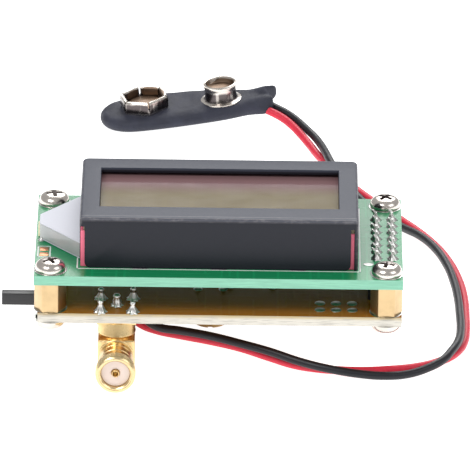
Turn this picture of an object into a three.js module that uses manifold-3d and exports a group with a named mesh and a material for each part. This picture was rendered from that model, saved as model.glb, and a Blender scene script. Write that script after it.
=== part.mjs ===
// A small frequency counter: two stacked circuit boards with an LCD on top, an RF input jack below
// the front edge, and a 9 V battery snap on two loose wires. Millimetres, +Z up, +X to the right of
// the display, -Y towards the input jack. Positions inside the module group are measured from the
// upper board's centre, with z = 0 on the surface that the module stands on.

import * as THREE from 'three';
import { mergeVertices } from 'three/addons/utils/BufferGeometryUtils.js';
import Module from 'manifold-3d';

const wasm = await Module();
wasm.setup();

// ---------------------------------------------------------------- driving dimensions

const BOARD_THICKNESS = 1.6;
const UPPER_BOARD = { width: 58, depth: 32, x: 0, y: 0, bottom: 15.4 };
const LOWER_BOARD = { width: 57.3, depth: 31.4, x: 0.25, y: 0.2, bottom: 8.8 };
const UPPER_TOP = UPPER_BOARD.bottom + BOARD_THICKNESS;
const LOWER_TOP = LOWER_BOARD.bottom + BOARD_THICKNESS;
const SCREW_X = 26.45;
const SCREW_Y = 13.25;
const SCREW_HOLE = 2.8;

const STANDOFF_FLATS = 4.4;
const STANDOFF_BORE = 2.7;
const SCREW = { head: 4.8, headHeight: 1.7, shank: 2.5, reach: 3.9 };

const PIN_PITCH = 2.54;
const HEADER = { x: 26.17, rows: 7, columns: 2, pin: 0.64, pinBottom: 7.8, pinTop: 18.6, clearance: 0.9 };
const HEADER_BODY = { width: 5.08, depth: 17.8, height: 2.54 };

const BEZEL = { width: 43.8, front: -12.5, back: 11.75, height: 8.5, wall: 0.4 };
const WINDOW = { width: 37.8, front: -7.75, back: 7.7, lip: 0.8 };
const CORNER_SLIT = { width: 0.8, reach: 2.55, height: 7.0 };
const FRONT_SLOT = { inset: 0.6, width: 0.55 };
const TABS = { xs: [-12.35, 0, 12.45], width: 2.2, drop: 2.4, clearance: 0.2 };
const GLASS = { thickness: 1.1, top: 24.2, width: 42.6, y: -0.375 };
const PANE_DEPTH = { front: 23.0, back: 18.0 };
const ZEBRA = { slitEnd: -21.75, reach: 21.3, depth: 2.0, clearance: 0.1 };

const LIGHT_GUIDE = { bottom: 17.3, height: 2.45, wide: 18.6, narrow: 3.2, tipX: -28.4, bezelX: -21.9 };
const LIGHT_GUIDE_INNER = 17.8;
const GUIDE_MOUTH = { side: 0.15, over: 0.45 };
const FILM = 0.15;
const LED = { width: 0.9, depth: 2.4, height: 1.6, proud: 0.25, clearance: 0.1 };

const JACK = { x: -15.97, y: -12.1, axisZ: 3.175, face: -22.9 };
const JACK_SLEEVE = { thread: 6.35, threadLength: 2.0, neck: 5.5, collar: 6.0 };
const JACK_BLOCK = { width: 5.8, front: -15.84, back: -9.1, low: 0.3, high: 5.95 };
const JACK_FOOT = { width: 6.2, thickness: 0.4 };
const JACK_LEGS = { pitch: 5.08, size: 1.0, top: 11.6, hole: 1.56, tailHole: 1.3 };
const DIELECTRIC = { diameter: 4.5, recess: 1.0, stem: 3.0 };
const CONTACT = { diameter: 1.27, recess: 0.6, tail: 1.0, tailTop: 12.0, bore: 0.95, boreDepth: 3 };

const TRIMMER = { x: -1.24, y: -5.4, diameter: 5.6, height: 3.9 };
const ROTOR = { diameter: 3.7, thickness: 1.0, slot: 0.6, slotDepth: 0.4 };

const SWITCH = { left: -28.4, right: -24.2, y: -0.3, length: 8.8, bottom: 4.5, wall: 0.3 };
const SWITCH_TRAVEL = 2.0;
const HANDLE = { tip: -34.4, y: -1.3, width: 1.6, z: 6.7, height: 2.0 };

const MICRO = { x: 1.5, y: 9.6, length: 35.6, width: 7.1, thickness: 3.4, pins: 14, rowPitch: 7.62 };
const SOCKET = { width: 10.1, bottom: 4.7 };

const PRESCALER = { x: -8.6, y: -2.6, length: 4.9, width: 3.9, height: 1.7, standoff: 0.15, pitch: 1.27 };
const LEAD = { width: 0.4, inner: 1.8, outer: 3.0, thickness: 0.4 };
const REGULATOR = { x: 9.5, y: 0.6, diameter: 4.8, top: 1.4, bottom: 6.2, flat: -1.5, pitch: 1.27 };
const REGULATOR_LEG = 0.44;
const CRYSTAL = { x: -17.4, y: -1.0, ends: 6.2, width: 4.4, height: 3.5 };
const CAPACITOR = { x: 16.5, y: 0.6, diameter: 5.0, height: 5.4 };
const DIODE = { x: 5.2, y: -4.4, diameter: 1.9, length: 4.2, axis: 1.0, span: 6.8, lead: 0.5 };

const WIRE_DIAMETER = 1.3;
const WIRE_SIDES = 8;
const WIRE_STEPS = 80;
const CHANNEL = { diameter: 1.9, points: 5, steps: 12, beyond: 0.4 };

const SNAP = { x: -12.96, y: 84.93, z: 3.3, turn: 3.2, tilt: 5.7, pitch: 12.95, thickness: 2.4 };
const SNAP_PLATE = { left: -4.2, right: 16.4, halfWidth: 3.0, thickness: 0.8 };
const SNAP_SOCKET = { flats: 7.6, height: 2.3, bore: 5.9, neck: 3.0, turn: -0.36 };
const SNAP_STUD = { rim: 5.7, height: 3.2, flange: 6.9, bore: 4.6 };
const RIVET_GAP = 0.3;

// Both wires run from their solder joints under the lower board to the battery snap.
const RED_ROUTE = [
  [-15.2, -7.0, 8.0], [-13.9, -7.4, 6.6], [-12.2, -7.7, 5.2], [-9.8, -7.9, 4.3], [-6.0, -8.4, 3.7],
  [-1.2, -8.9, 3.0], [3.5, -9.4, 2.1], [8.3, -11.0, 1.2], [12.1, -12.8, 0.8], [15.4, -13.8, 0.7],
  [18.8, -14.4, 0.7], [22.5, -14.6, 0.7], [27.2, -14.0, 0.7], [32.0, -12.6, 0.7], [35.2, -10.5, 0.7],
  [37.1, -8.4, 0.7], [38.4, -5.9, 0.7], [39.1, -3.4, 0.7], [39.5, 0.5, 0.7], [39.6, 7.4, 0.7],
  [39.5, 13.7, 0.7], [38.7, 21.6, 0.7], [36.9, 29.9, 0.7], [35.1, 35.0, 0.7], [32.7, 40.0, 0.7],
  [30.0, 44.6, 0.7], [27.4, 48.9, 0.7], [24.8, 53.2, 0.7], [22.5, 57.3, 0.7], [20.3, 61.8, 0.7],
  [18.1, 66.8, 0.7], [16.0, 72.2, 0.7], [14.5, 76.0, 1.1], [13.1, 78.4, 1.8], [11.7, 80.3, 2.5],
  [10.2, 81.8, 3.1], [8.6, 83.0, 3.5], [6.0, 84.7, 4.0],
];
const BLACK_ROUTE = [
  [-12.4, -7.9, 8.0], [-11.9, -8.4, 7.1], [-11.0, -8.9, 6.2], [-9.4, -9.2, 5.4], [-6.0, -9.3, 4.9],
  [-1.2, -9.7, 4.2], [3.5, -10.4, 3.3], [8.3, -11.9, 2.6], [13.0, -14.0, 1.9], [17.8, -15.6, 1.4],
  [22.5, -16.2, 0.9], [26.5, -16.3, 0.7], [30.1, -15.5, 0.7], [33.3, -13.9, 1.1], [35.6, -12.0, 1.6],
  [37.0, -9.4, 2.0], [38.1, -6.0, 2.1], [38.6, -1.1, 1.9], [38.6, 5.1, 1.8], [38.4, 12.4, 1.6],
  [37.9, 18.6, 1.5], [36.8, 25.7, 1.5], [34.9, 32.4, 1.5], [32.6, 37.5, 1.3], [30.0, 41.8, 0.8],
  [27.1, 46.2, 0.7], [24.3, 50.9, 0.7], [21.8, 55.7, 1.2], [19.7, 60.6, 1.9], [18.3, 65.3, 2.15],
  [17.5, 69.3, 2.1], [17.0, 72.0, 1.9], [16.4, 74.6, 1.75], [15.5, 77.2, 1.8], [14.3, 79.2, 2.15],
  [12.3, 81.9, 2.9], [10.7, 83.4, 3.4], [9.3, 84.7, 3.6], [6.2, 87.5, 4.0],
];

// ---------------------------------------------------------------- finishes

function finish(color, roughness, metalness = 0) {
  return new THREE.MeshStandardMaterial({ color, roughness, metalness });
}

const GREEN_LAMINATE = finish(0x1f9a63, 0.35);
const AMBER_LAMINATE = finish(0x9a6a24, 0.3);
const BRASS = finish(0xb08a4a, 0.35, 1);
const NICKEL = finish(0xcfc9c2, 0.25, 1);
const GOLD = finish(0xd9a441, 0.25, 1);
const BLACK_PAINT = finish(0x2f3138, 0.5);
const BLACK_PLASTIC = finish(0x17181a, 0.5);
const STEEL = finish(0xb9bcc0, 0.35, 1);
const DISPLAY_GLASS = finish(0x7d735e, 0.08);
const PINK_ELASTOMER = finish(0xd9798a, 0.6);
const CLEAR_ACRYLIC = finish(0xdfe6e8, 0.1);
const WHITE_FILM = finish(0xf0f0ec, 0.5);
const PTFE = finish(0xf2efe6, 0.5);
const CERAMIC = finish(0xb98a3e, 0.6);
const SOFT_VINYL = finish(0x3a3c48, 0.55);
const FIBRE = finish(0x6a4f35, 0.8);
const RED_PVC = finish(0xc8323f, 0.4);
const BLACK_PVC = finish(0x24252b, 0.4);
const EPOXY = finish(0x2a2c30, 0.6);
const SLEEVE = finish(0x2b3a5c, 0.4);
const GLASS_BODY = finish(0xb5673a, 0.2);

// ---------------------------------------------------------------- building blocks

const half = (size) => size / 2;
const sideways = [-1, 1];

function block(x0, x1, y0, y1, z0, z1) {
  const geometry = new THREE.BoxGeometry(x1 - x0, y1 - y0, z1 - z0);
  return geometry.translate(half(x0 + x1), half(y0 + y1), half(z0 + z1));
}

function rod(diameter, z0, z1, sides = 16) {
  const geometry = new THREE.CylinderGeometry(half(diameter), half(diameter), z1 - z0, sides);
  return geometry.rotateX(Math.PI / 2).translate(0, 0, half(z0 + z1));
}

function turned(profile, sides = 16) {
  const points = profile.map(([radius, height]) => new THREE.Vector2(radius, height));
  return new THREE.LatheGeometry(points, sides).rotateX(Math.PI / 2);
}

function rectangle(width, depth, x = 0, y = 0) {
  const [w, d] = [half(width), half(depth)];
  return [[x - w, y - d], [x + w, y - d], [x + w, y + d], [x - w, y + d]];
}

function polygon(radius, sides, x = 0, y = 0, turn = 0) {
  return Array.from({ length: sides }, (_, i) => {
    const angle = turn + (2 * Math.PI * i) / sides;
    return [x + radius * Math.cos(angle), y + radius * Math.sin(angle)];
  });
}

function sheet(outline, z0, z1) {
  const shape = new THREE.Shape(outline.map(([x, y]) => new THREE.Vector2(x, y)));
  const geometry = new THREE.ExtrudeGeometry(shape, { depth: z1 - z0, bevelEnabled: false });
  return geometry.translate(0, 0, z0);
}

function solid(geometry) {
  const bare = geometry.clone();
  bare.deleteAttribute('normal');
  bare.deleteAttribute('uv');
  const merged = mergeVertices(bare, 1e-5);
  const vertProperties = new Float32Array(merged.attributes.position.array);
  const triVerts = new Uint32Array(merged.index.array);
  return new wasm.Manifold(new wasm.Mesh({ numProp: 3, vertProperties, triVerts }));
}

function geometryOf(manifold) {
  const { numProp, vertProperties, triVerts } = manifold.getMesh();
  const positions = [];
  for (const corner of triVerts) {
    positions.push(...vertProperties.subarray(corner * numProp, corner * numProp + 3));
  }
  const geometry = new THREE.BufferGeometry();
  geometry.setAttribute('position', new THREE.Float32BufferAttribute(positions, 3));
  geometry.computeVertexNormals();
  return geometry;
}

function joined(geometries) {
  return geometries.map(solid).reduce((whole, piece) => whole.add(piece));
}

function carved(added, removed) {
  return geometryOf(joined(added).subtract(joined(removed)));
}

function perforated(outline, holes, z0, z1) {
  return carved([sheet(outline, z0, z1)], holes.map((hole) => sheet(hole, z0 - 1, z1 + 1)));
}

function place(group, name, geometry, material, position = [0, 0, 0]) {
  const mesh = new THREE.Mesh(geometry, material);
  mesh.name = name;
  mesh.position.set(...position);
  group.add(mesh);
  return mesh;
}

const CORNERS = {
  front_left: [-SCREW_X, -SCREW_Y],
  front_right: [SCREW_X, -SCREW_Y],
  rear_left: [-SCREW_X, SCREW_Y],
  rear_right: [SCREW_X, SCREW_Y],
};

function headerPositions() {
  const positions = [];
  for (let column = 0; column < HEADER.columns; column += 1) {
    for (let row = 0; row < HEADER.rows; row += 1) {
      const x = HEADER.x + (column - half(HEADER.columns - 1)) * PIN_PITCH;
      const y = (row - half(HEADER.rows - 1)) * PIN_PITCH;
      positions.push([x, y]);
    }
  }
  return positions;
}

function jackLegPositions() {
  const offset = half(JACK_LEGS.pitch);
  return sideways.flatMap((sx) => sideways.map((sy) => [JACK.x + sx * offset, JACK.y + sy * offset]));
}

// ---------------------------------------------------------------- boards and their fasteners

const assembly = new THREE.Group();

function buildBoards() {
  const screwHoles = Object.values(CORNERS).map(([x, y]) => polygon(half(SCREW_HOLE), 12, x, y));
  const pinHoles = headerPositions().map(([x, y]) => rectangle(HEADER.clearance, HEADER.clearance, x, y));
  const tabHoles = TABS.xs.flatMap((x) => [BEZEL.front, BEZEL.back - BEZEL.wall].map((y) => (
    rectangle(TABS.width + 2 * TABS.clearance, BEZEL.wall + 2 * TABS.clearance, x, y + half(BEZEL.wall)))));
  const upper = UPPER_BOARD;
  const upperOutline = rectangle(upper.width, upper.depth, upper.x, upper.y);
  const upperHoles = [...screwHoles, ...pinHoles, ...tabHoles];
  const face = perforated(upperOutline, upperHoles, upper.bottom, UPPER_TOP);
  place(assembly, 'upper_board', face, GREEN_LAMINATE);

  const lower = LOWER_BOARD;
  const lowerOutline = rectangle(lower.width, lower.depth, lower.x, lower.y);
  const legHoles = jackLegPositions().map(([x, y]) => polygon(half(JACK_LEGS.hole), 8, x, y));
  const tailHole = polygon(half(JACK_LEGS.tailHole), 8, JACK.x, JACK.y);
  const lowerHoles = [...screwHoles, ...pinHoles, ...legHoles, tailHole];
  const panel = perforated(lowerOutline, lowerHoles, lower.bottom, LOWER_TOP);
  place(assembly, 'lower_board', panel, AMBER_LAMINATE);
}

function standoffGeometry() {
  const outline = polygon(half(STANDOFF_FLATS) / Math.cos(Math.PI / 6), 6);
  return perforated(outline, [polygon(half(STANDOFF_BORE), 12)], LOWER_TOP, UPPER_BOARD.bottom);
}

// A pan-head screw with its head on top, its bearing face at z = 0 and its thread plain.
function screwGeometry() {
  const head = half(SCREW.head);
  const shank = half(SCREW.shank);
  return turned([
    [0, -SCREW.reach],
    [shank, -SCREW.reach],
    [shank, 0],
    [head, 0],
    [head, 0.7],
    [head * 0.86, 1.3],
    [head * 0.5, SCREW.headHeight],
    [0, SCREW.headHeight],
  ], 12);
}

function buildFasteners() {
  for (const [corner, [x, y]] of Object.entries(CORNERS)) {
    place(assembly, `standoff_${corner}`, standoffGeometry(), BRASS, [x, y, 0]);
    place(assembly, `top_screw_${corner}`, screwGeometry(), NICKEL, [x, y, UPPER_TOP]);
    const lowerScrew = place(assembly, `bottom_screw_${corner}`, screwGeometry(), NICKEL);
    lowerScrew.rotation.x = Math.PI;
    lowerScrew.position.set(x, y, LOWER_BOARD.bottom);
  }
}

function buildHeader() {
  const holes = headerPositions().map(([x, y]) => rectangle(HEADER.clearance, HEADER.clearance, x, y));
  const outline = rectangle(HEADER_BODY.width, HEADER_BODY.depth, HEADER.x, 0);
  const bodyTop = LOWER_TOP + HEADER_BODY.height;
  place(assembly, 'header_body', perforated(outline, holes, LOWER_TOP, bodyTop), BLACK_PLASTIC);
  const reach = half(HEADER.pin);
  headerPositions().forEach(([x, y], index) => {
    const pin = block(-reach, reach, -reach, reach, HEADER.pinBottom, HEADER.pinTop);
    place(assembly, `header_pin_${String(index + 1).padStart(2, '0')}`, pin, GOLD, [x, y, 0]);
  });
}

// ---------------------------------------------------------------- display

function buildBezel() {
  const [w, f, b, t] = [half(BEZEL.width), BEZEL.front, BEZEL.back, BEZEL.wall];
  const [low, high] = [UPPER_TOP, UPPER_TOP + BEZEL.height];
  const ww = half(WINDOW.width);
  const shell = [block(-w, w, f, b, low, high)];
  const lipBottom = high - t - WINDOW.lip;
  const cavity = [block(-w + t, w - t, f + t, b - t, low - 1, high - t)];
  const window = block(-ww, ww, WINDOW.front, WINDOW.back, lipBottom - 1, high + 1);
  const slitTop = low + CORNER_SLIT.height;
  const slotRight = w - FRONT_SLOT.inset;
  const slits = [
    block(-w - 1, -w + CORNER_SLIT.width, f - 1, f + CORNER_SLIT.reach, low - 1, slitTop),
    block(slotRight - FRONT_SLOT.width, slotRight, f - 1, f + 1, low - 1, slitTop),
  ];
  const mouthHalf = half(LIGHT_GUIDE.wide) + GUIDE_MOUTH.side;
  const mouthTop = LIGHT_GUIDE.bottom + LIGHT_GUIDE.height + GUIDE_MOUTH.over;
  const mouth = block(-w - 1, -w + t + 1, -mouthHalf, mouthHalf, low - 1, mouthTop);
  const box = joined(shell).subtract(joined(cavity));
  const lipOuter = joined([block(-ww - t, ww + t, WINDOW.front - t, WINDOW.back + t, lipBottom, high)]);
  const tabs = TABS.xs.flatMap((x) => [f, b - t].map((y) => (
    block(x - half(TABS.width), x + half(TABS.width), y, y + t, low - TABS.drop, low + 1))));
  const whole = box.add(lipOuter).add(joined(tabs)).subtract(joined([window, mouth, ...slits]));
  place(assembly, 'lcd_bezel', geometryOf(whole), BLACK_PAINT);
}

function buildDisplay() {
  const paneSplit = GLASS.top - GLASS.thickness;
  const w = half(GLASS.width);
  const front = half(PANE_DEPTH.front);
  const back = half(PANE_DEPTH.back);
  const frontPane = block(-w, w, GLASS.y - front, GLASS.y + front, paneSplit, GLASS.top);
  const backPane = block(-w, w, GLASS.y - back, GLASS.y + back, paneSplit - GLASS.thickness, paneSplit);
  place(assembly, 'lcd_front_glass', frontPane, DISPLAY_GLASS);
  place(assembly, 'lcd_rear_glass', backPane, DISPLAY_GLASS);
  const strips = {
    front: [ZEBRA.slitEnd, BEZEL.front + BEZEL.wall + ZEBRA.clearance],
    rear: [-ZEBRA.reach, BEZEL.back - BEZEL.wall - ZEBRA.clearance - ZEBRA.depth],
  };
  for (const [side, [left, y]] of Object.entries(strips)) {
    const strip = block(left, ZEBRA.reach, y, y + ZEBRA.depth, UPPER_TOP, paneSplit);
    place(assembly, `zebra_strip_${side}`, strip, PINK_ELASTOMER);
  }
}

function buildBacklight() {
  const { bottom, height, wide, narrow, tipX, bezelX } = LIGHT_GUIDE;
  const right = half(GLASS.width);
  const y = half(wide);
  const tip = half(narrow);
  const hidden = half(LIGHT_GUIDE_INNER);
  const outline = [[tipX, -tip], [bezelX, -y], [bezelX, -hidden], [right, -hidden], [right, hidden],
    [bezelX, hidden], [bezelX, y], [tipX, tip]];
  const pocketHalf = half(LED.depth) + LED.clearance;
  const pocket = block(tipX - 1, tipX + LED.width, -pocketHalf, pocketHalf, bottom - 1, bottom + height + 1);
  const slab = sheet(outline, bottom, bottom + height);
  place(assembly, 'light_guide', carved([slab], [pocket]), CLEAR_ACRYLIC);
  const wing = [[tipX, -tip], [bezelX, -y], [bezelX, y], [tipX, tip]];
  const over = bottom + height;
  place(assembly, 'light_film_top', sheet(wing, over, over + FILM), WHITE_FILM);
  place(assembly, 'light_film_bottom', sheet(wing, bottom - FILM, bottom), WHITE_FILM);
  const left = tipX - LED.proud;
  const led = block(left, left + LED.width, -half(LED.depth), half(LED.depth), bottom, bottom + LED.height);
  place(assembly, 'backlight_led', led, WHITE_FILM);
}

// ---------------------------------------------------------------- input jack

function alongJack(geometry) {
  return geometry.rotateX(Math.PI / 2).translate(JACK.x, 0, JACK.axisZ);
}

// A rod along the jack's axis, from y = near (the open end) to y = far.
function jackRod(diameter, near, far, sides = 24) {
  return alongJack(rod(diameter, -far, -near, sides));
}

function jackStem(diameter, z0, z1, sides = 16) {
  return rod(diameter, z0, z1, sides).translate(JACK.x, JACK.y, 0);
}

function buildJack() {
  const b = half(JACK_BLOCK.width);
  const f = half(JACK_FOOT.width);
  const { front, back, low, high } = JACK_BLOCK;
  const cube = block(JACK.x - b, JACK.x + b, front, back, low, high);
  const collar = jackStem(JACK_SLEEVE.collar, JACK.axisZ, LOWER_BOARD.bottom, 20);
  const foot = block(JACK.x - f, JACK.x + f, JACK.y - f, JACK.y + f,
    LOWER_BOARD.bottom - JACK_FOOT.thickness, LOWER_BOARD.bottom);
  const neck = jackRod(JACK_SLEEVE.neck, JACK.face + 1, JACK.y);
  const thread = jackRod(JACK_SLEEVE.thread, JACK.face, JACK.face + JACK_SLEEVE.threadLength);
  const legs = jackLegPositions().map(([x, y]) => {
    const s = half(JACK_LEGS.size);
    return block(x - s, x + s, y - s, y + s, LOWER_BOARD.bottom - half(JACK_FOOT.thickness), JACK_LEGS.top);
  });
  const innerEnd = JACK.y + half(DIELECTRIC.diameter);
  const bores = [
    jackRod(DIELECTRIC.diameter, JACK.face - 1, innerEnd),
    jackStem(DIELECTRIC.stem, JACK.axisZ, LOWER_BOARD.bottom + 1),
  ];
  place(assembly, 'sma_body', carved([cube, collar, foot, neck, thread, ...legs], bores), GOLD);

  const fit = 0.06;
  const contactEnd = JACK.face + CONTACT.recess;
  const holes = [
    jackRod(CONTACT.diameter + fit, JACK.face - 1, JACK.y + half(CONTACT.tail), 12),
    jackStem(CONTACT.tail + fit, JACK.axisZ - half(CONTACT.diameter) - fit, LOWER_BOARD.bottom + 1, 12),
  ];
  const insulator = [
    jackRod(DIELECTRIC.diameter - fit, JACK.face + DIELECTRIC.recess, innerEnd - fit),
    jackStem(DIELECTRIC.stem - fit, JACK.axisZ, LOWER_BOARD.bottom - fit),
  ];
  place(assembly, 'sma_insulator', carved(insulator, holes), PTFE);
  const contact = [
    jackRod(CONTACT.diameter, contactEnd, JACK.y, 12),
    jackStem(CONTACT.tail, JACK.axisZ - half(CONTACT.diameter) + fit, CONTACT.tailTop, 12),
  ];
  const mouth = [jackRod(CONTACT.bore, contactEnd - 1, contactEnd + CONTACT.boreDepth, 8)];
  place(assembly, 'sma_contact', carved(contact, mouth), GOLD);
}

// ---------------------------------------------------------------- trimmer and slide switch

function buildTrimmer() {
  const top = LOWER_BOARD.bottom;
  const bottom = top - TRIMMER.height;
  const gap = 0.1;
  const rotorTop = bottom + ROTOR.thickness;
  const recess = rod(ROTOR.diameter + 2 * gap, bottom - 1, rotorTop + gap, 20);
  const base = carved([rod(TRIMMER.diameter, bottom, top, 20)], [recess]);
  place(assembly, 'trimmer_base', base, CERAMIC, [TRIMMER.x, TRIMMER.y, 0]);
  const disc = rod(ROTOR.diameter, bottom, rotorTop, 20);
  const reach = half(ROTOR.diameter) + 1;
  const slotHalf = half(ROTOR.slot);
  const slot = block(-reach, reach, -slotHalf, slotHalf, bottom - 1, bottom + ROTOR.slotDepth);
  place(assembly, 'trimmer_rotor', carved([disc], [slot]), BRASS, [TRIMMER.x, TRIMMER.y, 0]);
}

function buildSwitch() {
  const { left, right, y, length, bottom, wall } = SWITCH;
  const top = LOWER_BOARD.bottom;
  const [y0, y1] = [y - half(length), y + half(length)];
  const gap = 0.15;
  const lid = block(left, right, y0, y1, bottom, top);
  const room = block(left + wall, right + 1, y0 + wall, y1 - wall, bottom + wall, top - wall);
  const slotFront = HANDLE.y - half(HANDLE.width) - gap;
  const slotBack = HANDLE.y + half(HANDLE.width) + SWITCH_TRAVEL + gap;
  const slot = block(left - 1, left + 1, slotFront, slotBack,
    HANDLE.z - half(HANDLE.height) - gap, HANDLE.z + half(HANDLE.height) + gap);
  place(assembly, 'switch_frame', carved([lid], [room, slot]), STEEL);

  const baseLeft = right - 1.6;
  const base = block(baseLeft, right, y0 + wall, y1 - wall, bottom + wall, top - wall);
  place(assembly, 'switch_base', base, FIBRE);

  const bar = block(HANDLE.tip, left + wall + gap + 0.5, HANDLE.y - half(HANDLE.width),
    HANDLE.y + half(HANDLE.width), HANDLE.z - half(HANDLE.height), HANDLE.z + half(HANDLE.height));
  const carriage = block(left + wall + gap, baseLeft - gap, HANDLE.y - 2.3, HANDLE.y + 2.3,
    bottom + wall + gap, top - wall - gap);
  place(assembly, 'switch_slider', geometryOf(joined([bar, carriage])), BLACK_PLASTIC);
}

// ---------------------------------------------------------------- parts under the lower board

function microPins(side) {
  return Array.from({ length: MICRO.pins }, (_, i) => (
    [(i - half(MICRO.pins - 1)) * PIN_PITCH, side * half(MICRO.rowPitch)]));
}

function buildMicrocontroller() {
  const [length, width] = [half(MICRO.length), half(MICRO.width)];
  const shoulder = half(MICRO.thickness);
  const body = block(-length, length, -width, width, 0, MICRO.thickness);
  const legs = sideways.flatMap((side) => microPins(side).map(([x, y]) => {
    const [inner, outer] = [side * (width - 0.3), y + side * 0.15].sort((a, c) => a - c);
    return block(x - 0.6, x + 0.6, inner, outer, shoulder, shoulder + 0.3);
  }));
  const blades = sideways.flatMap((side) => microPins(side).map(([x, y]) => (
    block(x - 0.25, x + 0.25, y - 0.15, y + 0.15, shoulder, SOCKET.bottom + 2.2))));
  const chip = geometryOf(joined([body, ...legs, ...blades]));
  place(assembly, 'microcontroller', chip, EPOXY, [MICRO.x, MICRO.y, 0]);

  const slots = sideways.flatMap((side) => microPins(side).map(([x, y]) => rectangle(0.8, 0.6, x, y)));
  const gaps = [-2, -1, 0, 1, 2].map((step) => rectangle(5.0, 4.2, step * 6.8, 0));
  const outline = rectangle(MICRO.length, SOCKET.width);
  const frame = perforated(outline, [...slots, ...gaps], SOCKET.bottom, LOWER_BOARD.bottom);
  place(assembly, 'ic_socket', frame, BLACK_PLASTIC, [MICRO.x, MICRO.y, 0]);
}

function buildPrescaler(top) {
  const { x, y, length, width, height, standoff, pitch } = PRESCALER;
  const reach = half(LEAD.width);
  const middle = half(LEAD.inner + LEAD.outer);
  const body = block(-half(length), half(length), -half(width), half(width), top - height, top - standoff);
  const leads = sideways.flatMap((side) => [-1.5, -0.5, 0.5, 1.5].map((step) => (
    block(step * pitch - reach, step * pitch + reach, -half(LEAD.outer - LEAD.inner),
      half(LEAD.outer - LEAD.inner), top - LEAD.thickness, top).translate(0, side * middle, 0))));
  place(assembly, 'prescaler_chip', geometryOf(joined([body, ...leads])), EPOXY, [x, y, 0]);
}

function buildRegulator(top) {
  const { x, y, diameter, flat, pitch } = REGULATOR;
  const reach = half(REGULATOR_LEG);
  const body = rod(diameter, top - REGULATOR.bottom, top - REGULATOR.top, 16);
  const cut = block(-diameter, diameter, -diameter, flat, top - REGULATOR.bottom - 1, top);
  const legs = [-pitch, 0, pitch].map((at) => (
    block(at - reach, at + reach, -reach, reach, top - REGULATOR.top - 0.6, top)));
  const whole = joined([body]).subtract(joined([cut])).add(joined(legs));
  place(assembly, 'voltage_regulator', geometryOf(whole), EPOXY, [x, y, 0]);
}

function buildCrystal(top) {
  const { x, y, ends, width, height } = CRYSTAL;
  const bottom = top - height;
  const rounds = sideways.map((side) => rod(width, bottom, top, 16).translate(half(side * ends), 0, 0));
  const flats = block(-half(ends), half(ends), -half(width), half(width), bottom, top);
  place(assembly, 'crystal', geometryOf(joined([flats, ...rounds])), STEEL, [x, y, 0]);
}

function buildDiode(top) {
  const { x, y, diameter, length, span, lead } = DIODE;
  const axis = top - DIODE.axis;
  const reach = half(lead);
  const lying = (width, long, sides) => (
    rod(width, -half(long), half(long), sides).rotateY(Math.PI / 2).translate(0, 0, axis));
  const feet = sideways.map((side) => (
    block(-reach, reach, -reach, reach, axis - reach, top).translate(half(side * span), 0, 0)));
  const whole = joined([lying(diameter, length, 12), lying(lead, span + 0.4, 8), ...feet]);
  place(assembly, 'supply_diode', geometryOf(whole), GLASS_BODY, [x, y, 0]);
}

function buildSmallParts() {
  const top = LOWER_BOARD.bottom;
  buildPrescaler(top);
  buildRegulator(top);
  buildCrystal(top);
  const capacitor = rod(CAPACITOR.diameter, top - CAPACITOR.height, top, 20);
  place(assembly, 'electrolytic_capacitor', capacitor, SLEEVE, [CAPACITOR.x, CAPACITOR.y, 0]);
  buildDiode(top);
}

// ---------------------------------------------------------------- wires and battery snap

function tube(points, diameter, steps) {
  const section = polygon(half(diameter), WIRE_SIDES).map(([x, y]) => new THREE.Vector2(x, y));
  const extrudePath = new THREE.CatmullRomCurve3(points);
  return new THREE.ExtrudeGeometry(new THREE.Shape(section), { steps, bevelEnabled: false, extrudePath });
}

function wire(route) {
  return tube(route.map((point) => new THREE.Vector3(...point)), WIRE_DIAMETER, WIRE_STEPS);
}

// The clearance round a wire's last stretch inside the cover, a little longer than the wire.
function channel(route) {
  const points = route.slice(-CHANNEL.points).map((point) => new THREE.Vector3(...point));
  const [before, end] = points.slice(-2);
  points.push(end.clone().sub(before).setLength(CHANNEL.beyond).add(end));
  return tube(points, CHANNEL.diameter, CHANNEL.steps);
}

// The cover's outline, from the middle of its round left end and back along its front.
const COVER_OUTLINE = [
  [-7.6, 0.4], [-7.1, -2.2], [-5.3, -4.4], [-2.2, -5.6], [4.0, -5.5], [10.5, -4.8], [15.5, -3.9],
  [20.6, -3.2],
  [21.6, -0.4], [21.0, 1.6], [22.2, 3.8], [18.0, 4.4], [13.5, 5.6], [7.0, 6.3], [-1.5, 6.2], [-5.0, 5.0],
  [-7.0, 2.9],
];

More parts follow.
